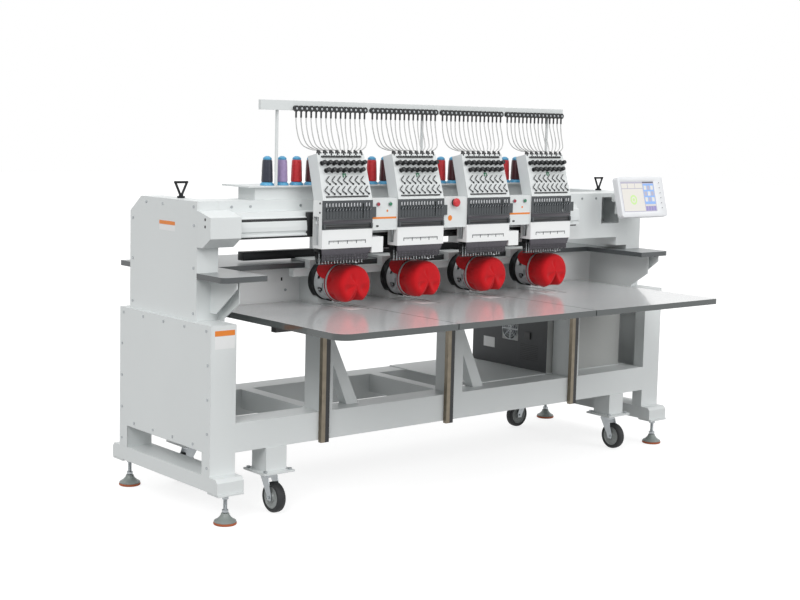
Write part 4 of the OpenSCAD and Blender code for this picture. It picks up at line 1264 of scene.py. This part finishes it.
class MACHINE_OT_labels(Operator):
    """Sticks on the orange stripes, the pale label fields and the marks of the button panels"""
    bl_idname = "machine.labels"
    bl_label = "Labels"

    def execute(self, context):
        bm = bmesh.new()
        # an orange stripe over a pale field, on the left post and on the left end box
        box(bm, (-1320, -1228), (-0.35, 0.1), (741, 762), 0)
        box(bm, (-1320, -1228), (-0.3, 0.1), (690, 739), 0, material=1)
        box(bm, (-1318.4, -1317.9), (304, 424), (1150, 1165), 0)
        box(bm, (-1318.35, -1317.9), (304, 424), (1126, 1149), 0, material=1)
        piece("labels", bm, "machine_frame", ["orange", "label"], 40)
        bm = bmesh.new()
        face = (PANEL_Y - 0.4, PANEL_Y + 0.1)
        for x in (PANELS[0], PANELS[2]):
            box(bm, (x - 66, x + 66), face, (1176, 1184), 0)
            disc(bm, 5, 0, 0.4, (x + 16, PANEL_Y - 0.4, 1209), steps=20)
            box(bm, (x - 44, x - 30), face, (1142, 1150), 0, material=1)
        disc(bm, 12, 0, 0.5, (PANELS[1] - 27, PANEL_Y - 0.5, 1170), steps=32)
        piece("panel_labels", bm, "colour_carriage", ["orange", "black plastic"],
              40)
        return {"FINISHED"}


class MACHINE_OT_buttons(Operator):
    """Builds the push buttons and the emergency stop with its collar"""
    bl_idname = "machine.buttons"
    bl_label = "Buttons"

    def execute(self, context):
        for number, x in ((1, PANELS[0]), (2, PANELS[2])):
            for kind, slot, finish in (("stop", "red_plastic", "dark red plastic"),
                                       ("start", "green_plastic", "green plastic")):
                bm = bmesh.new()
                lathe(bm, [(0, 16), (4.9, 16), (4.9, -4), (7.3, -4), (7.6, -4.8), (7.4, -8),
                           (6.4, -9), (3, -8.7), (0, -8.6)],
                      (x + KEY_SHIFTS[kind], PANEL_Y, BUTTON_Z), "Y", 32)
                key = piece(f"{kind}_key_cap_{number}", bm, f"{kind}_key_{number}", [finish],
                            35)
                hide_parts(f"{kind}_button_{number}")
        x = PANELS[1] - 4
        bm = bmesh.new()
        lathe(bm, [(0, 16), (7.9, 16), (7.9, -11), (17, -11), (18.7, -12.4), (19, -15),
                   (18.2, -19.5), (15.5, -23), (10, -24.7), (0, -25)],
              (x, PANEL_Y, BUTTON_Z), "Y", 48)
        stop = piece("stop_mushroom_head", bm, "stop_mushroom", ["red plastic"], 50)
        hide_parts("emergency_stop")
        bm = bmesh.new()
        lathe(bm, [(8.4, 0), (15.5, 0), (16.4, -1), (15.6, -5.6), (14.6, -6.6), (8.4, -6.6)],
              (x, PANEL_Y, BUTTON_Z), "Y", 40, closed=True)
        for key in [x + shift for x in (PANELS[0], PANELS[2]) for shift in KEY_SHIFTS.values()]:
            lathe(bm, [(5.4, 0), (9.4, 0), (9.8, -0.8), (9.2, -3), (8.4, -3.4), (5.4, -3.4)],
                  (key, PANEL_Y, BUTTON_Z), "Y", 32, material=1, closed=True)
        piece("button_collars", bm, "colour_carriage", ["black plastic", "zinc"],
              35)
        return {"FINISHED"}


class MACHINE_OT_panel_details(Operator):
    """Adds the cabinet's seams and vents, slots, tongue tops, gear boxes and the cap bearings"""
    bl_idname = "machine.panel_details"
    bl_label = "Sheet metal details"

    def execute(self, context):
        bm = bmesh.new()
        self.cabinet(bm)
        for head in HEADS:
            # the laminated top of the tongue that fills a slot in the table
            box(bm, (head - 47.6, head + 47.6), (9.6, 243), (796.9, 798.9), 0.5, material=4)
        # pale bushes of the thread guides
        bush = pattern(lambda b: lathe(b, [(0, 0), (4.4, 0), (4.8, -0.6), (3, -1.2), (0, -1.2)],
                                       (0, 0, 0), "Y", 12, material=1))
        stamp(bm, bush, [move(x + i * GUIDE_PITCH, 122, GUIDE_Z) for x in CASES for i in NEEDLES])
        # hanging slots in the bed panel
        for head in HEADS:
            for dx in (-140, 130):
                box(bm, (head + dx - 4, head + dx + 4), (375.6, 376.1), (890, 905), 0)
        # shadow strip under the rail cover
        box(bm, (-1174, 800), (100, 139.6), (1104, 1110), 0)
        # the drive gear under the rail cover, between the heads
        gears = 3
        for left, right, low in ((-538, -262, 1042), (-138, 138, 1080), (262, 538, 1080)):
            box(bm, (left, right), (104, 139), (low, 1111), 2, material=3)
            box(bm, (left, right), (96, 103), (low + 6, low + 18), 1)
            for k in range(gears):
                x = left + (k + 0.5) * (right - left) / gears
                box(bm, (x - 18, x + 18), (92, 104), (low + 2, 1100), 2)
        # the bracket on the rail cover at the left
        box(bm, (-828, -775), (80.45, 93), (1106, 1206), 1)
        # painted shade: a black strip in the dark gap between the two rolls of the rail cover
        box(bm, (-1174, -662), (83.4, 86.5), (1172, 1184), 0.5)
        # the two round openings of the end box, dark inside
        for z in (1160, 1188):
            disc(bm, 5.9, 0, 0.6, (-1317.6, 82, z), "X", 24)
        piece("frame_details", bm, "machine_frame",
              ["black plastic", "zinc", "label", "dark paint", "lower board"], 35)
        self.bearings()
        return {"FINISHED"}

    @staticmethod
    def bearings():
        """The black bar that carries the cap rings, with the shoe in which each flange turns."""
        bm = bmesh.new()
        box(bm, (-930.5, 930.5), (389, 431), (983, 1020), 1.5)
        arc = [math.radians(a) for a in range(-50, 231, 5)]
        outline = []
        for radius, angles in ((84.4, arc), (65.9, reversed(arc))):
            outline += [(radius * math.cos(a), CAP_RING_Z + radius * math.sin(a)) for a in angles]
        shoe = pattern(lambda b: prism(b, outline, "Y", 242.7, 262.3, 0.8))
        stamp(bm, shoe, [move(x, 0, 0) for x in HEADS])
        piece("cap_bearings", bm, "cap_carriage", ["black anodised"], 35)

    @staticmethod
    def cabinet(bm):
        """Door seam, lock, a dark sheet of painted shade on the left side, vents, fan guard and a
        blank plate on the cabinet.
        """
        front, back, low, high = CABINET_FRONT + 1, 639, 394, 737
        fan_y, fan_z, fan_half = 373, 579, 55
        # a dark sheet of painted shade on the cabinet's left side, which lies in the table's
        # shadow, in four pieces round the fan's opening
        beside = (fan_y - fan_half, fan_y + fan_half)
        for y, z in (((front, beside[0]), (low, high)), ((beside[1], back), (low, high)),
                     (beside, (low, fan_z - fan_half)), (beside, (fan_z + fan_half, high))):
            box(bm, (CABINET_LEFT - 0.8, CABINET_LEFT + 0.1), y, z, 0, material=3)
        box(bm, (739, 741), (CABINET_FRONT - 0.8, CABINET_FRONT + 0.1), (395, 736), 0)
        box(bm, (CABINET_LEFT - 1, CABINET_LEFT - 0.4), (480, 560), (470, 520), 0, material=2)
        box(bm, (CABINET_LEFT + 0.5, 1169.5), (CABINET_FRONT - 0.8, CABINET_FRONT + 0.1),
            (724, 726), 0)
        lathe(bm, screw_head(9, 7.5, -2, -3), (768, CABINET_FRONT, 560), "Y", 24, material=1)
        box(bm, (760, 830), (CABINET_FRONT - 0.7, CABINET_FRONT + 0.1), (640, 684), 0.3, material=2)
        for i in range(9):
            box(bm, (CABINET_LEFT - 1.4, CABINET_LEFT - 0.7), (180, 300),
                (440 + i * 9, 443 + i * 9), 0)
        for r in (52, 40, 28, 16):
            lathe(bm, [(r - 1, -1), (r + 1, -1), (r + 1, 1), (r - 1, 1)],
                  (CABINET_LEFT - 2.6, fan_y, fan_z), "X", 40, material=1, closed=True)
        bar = pattern(lambda b: box(b, (-3.8, -1.8), (-53, 53), (-1, 1), 0, material=1))
        stamp(bm, bar, [move(CABINET_LEFT, fan_y, fan_z, turned(a, "X"))
                        for a in range(0, 180, 45)])


# ---- panel and registration

OPERATORS = (
    MACHINE_OT_finishes, MACHINE_OT_stage, MACHINE_OT_caps, MACHINE_OT_rings, MACHINE_OT_cones,
    MACHINE_OT_tubes, MACHINE_OT_controls, MACHINE_OT_case_fronts, MACHINE_OT_screen,
    MACHINE_OT_wheels, MACHINE_OT_feet, MACHINE_OT_labels, MACHINE_OT_buttons,
    MACHINE_OT_panel_details)


class MACHINE_PT_pieces(Panel):
    """Lists the machine's settings and pieces in the sidebar"""
    bl_idname = "MACHINE_PT_pieces"
    bl_label = "Embroidery machine"
    bl_space_type = "VIEW_3D"
    bl_region_type = "UI"
    bl_category = "Machine"

    def draw(self, context):
        column = self.layout.column(align=True)
        for group in (context.scene.machine_sizes, context.scene.machine_colours):
            for name in group.__annotations__:
                column.prop(group, name)
        for operator in OPERATORS:
            column.operator(operator.bl_idname)


CLASSES = (MachineSizes, MachineColours) + OPERATORS + (MACHINE_PT_pieces,)


def register():
    for cls in CLASSES:
        bpy.utils.register_class(cls)
    bpy.types.Scene.machine_sizes = PointerProperty(type=MachineSizes)
    bpy.types.Scene.machine_colours = PointerProperty(type=MachineColours)


def unregister():
    del bpy.types.Scene.machine_colours
    del bpy.types.Scene.machine_sizes
    for cls in reversed(CLASSES):
        bpy.utils.unregister_class(cls)


def main():
    register()
    for operator in OPERATORS:
        group, name = operator.bl_idname.split(".")
        getattr(getattr(bpy.ops, group), name)()
    bpy.context.view_layer.update()


if __name__ == "__main__":
    main()
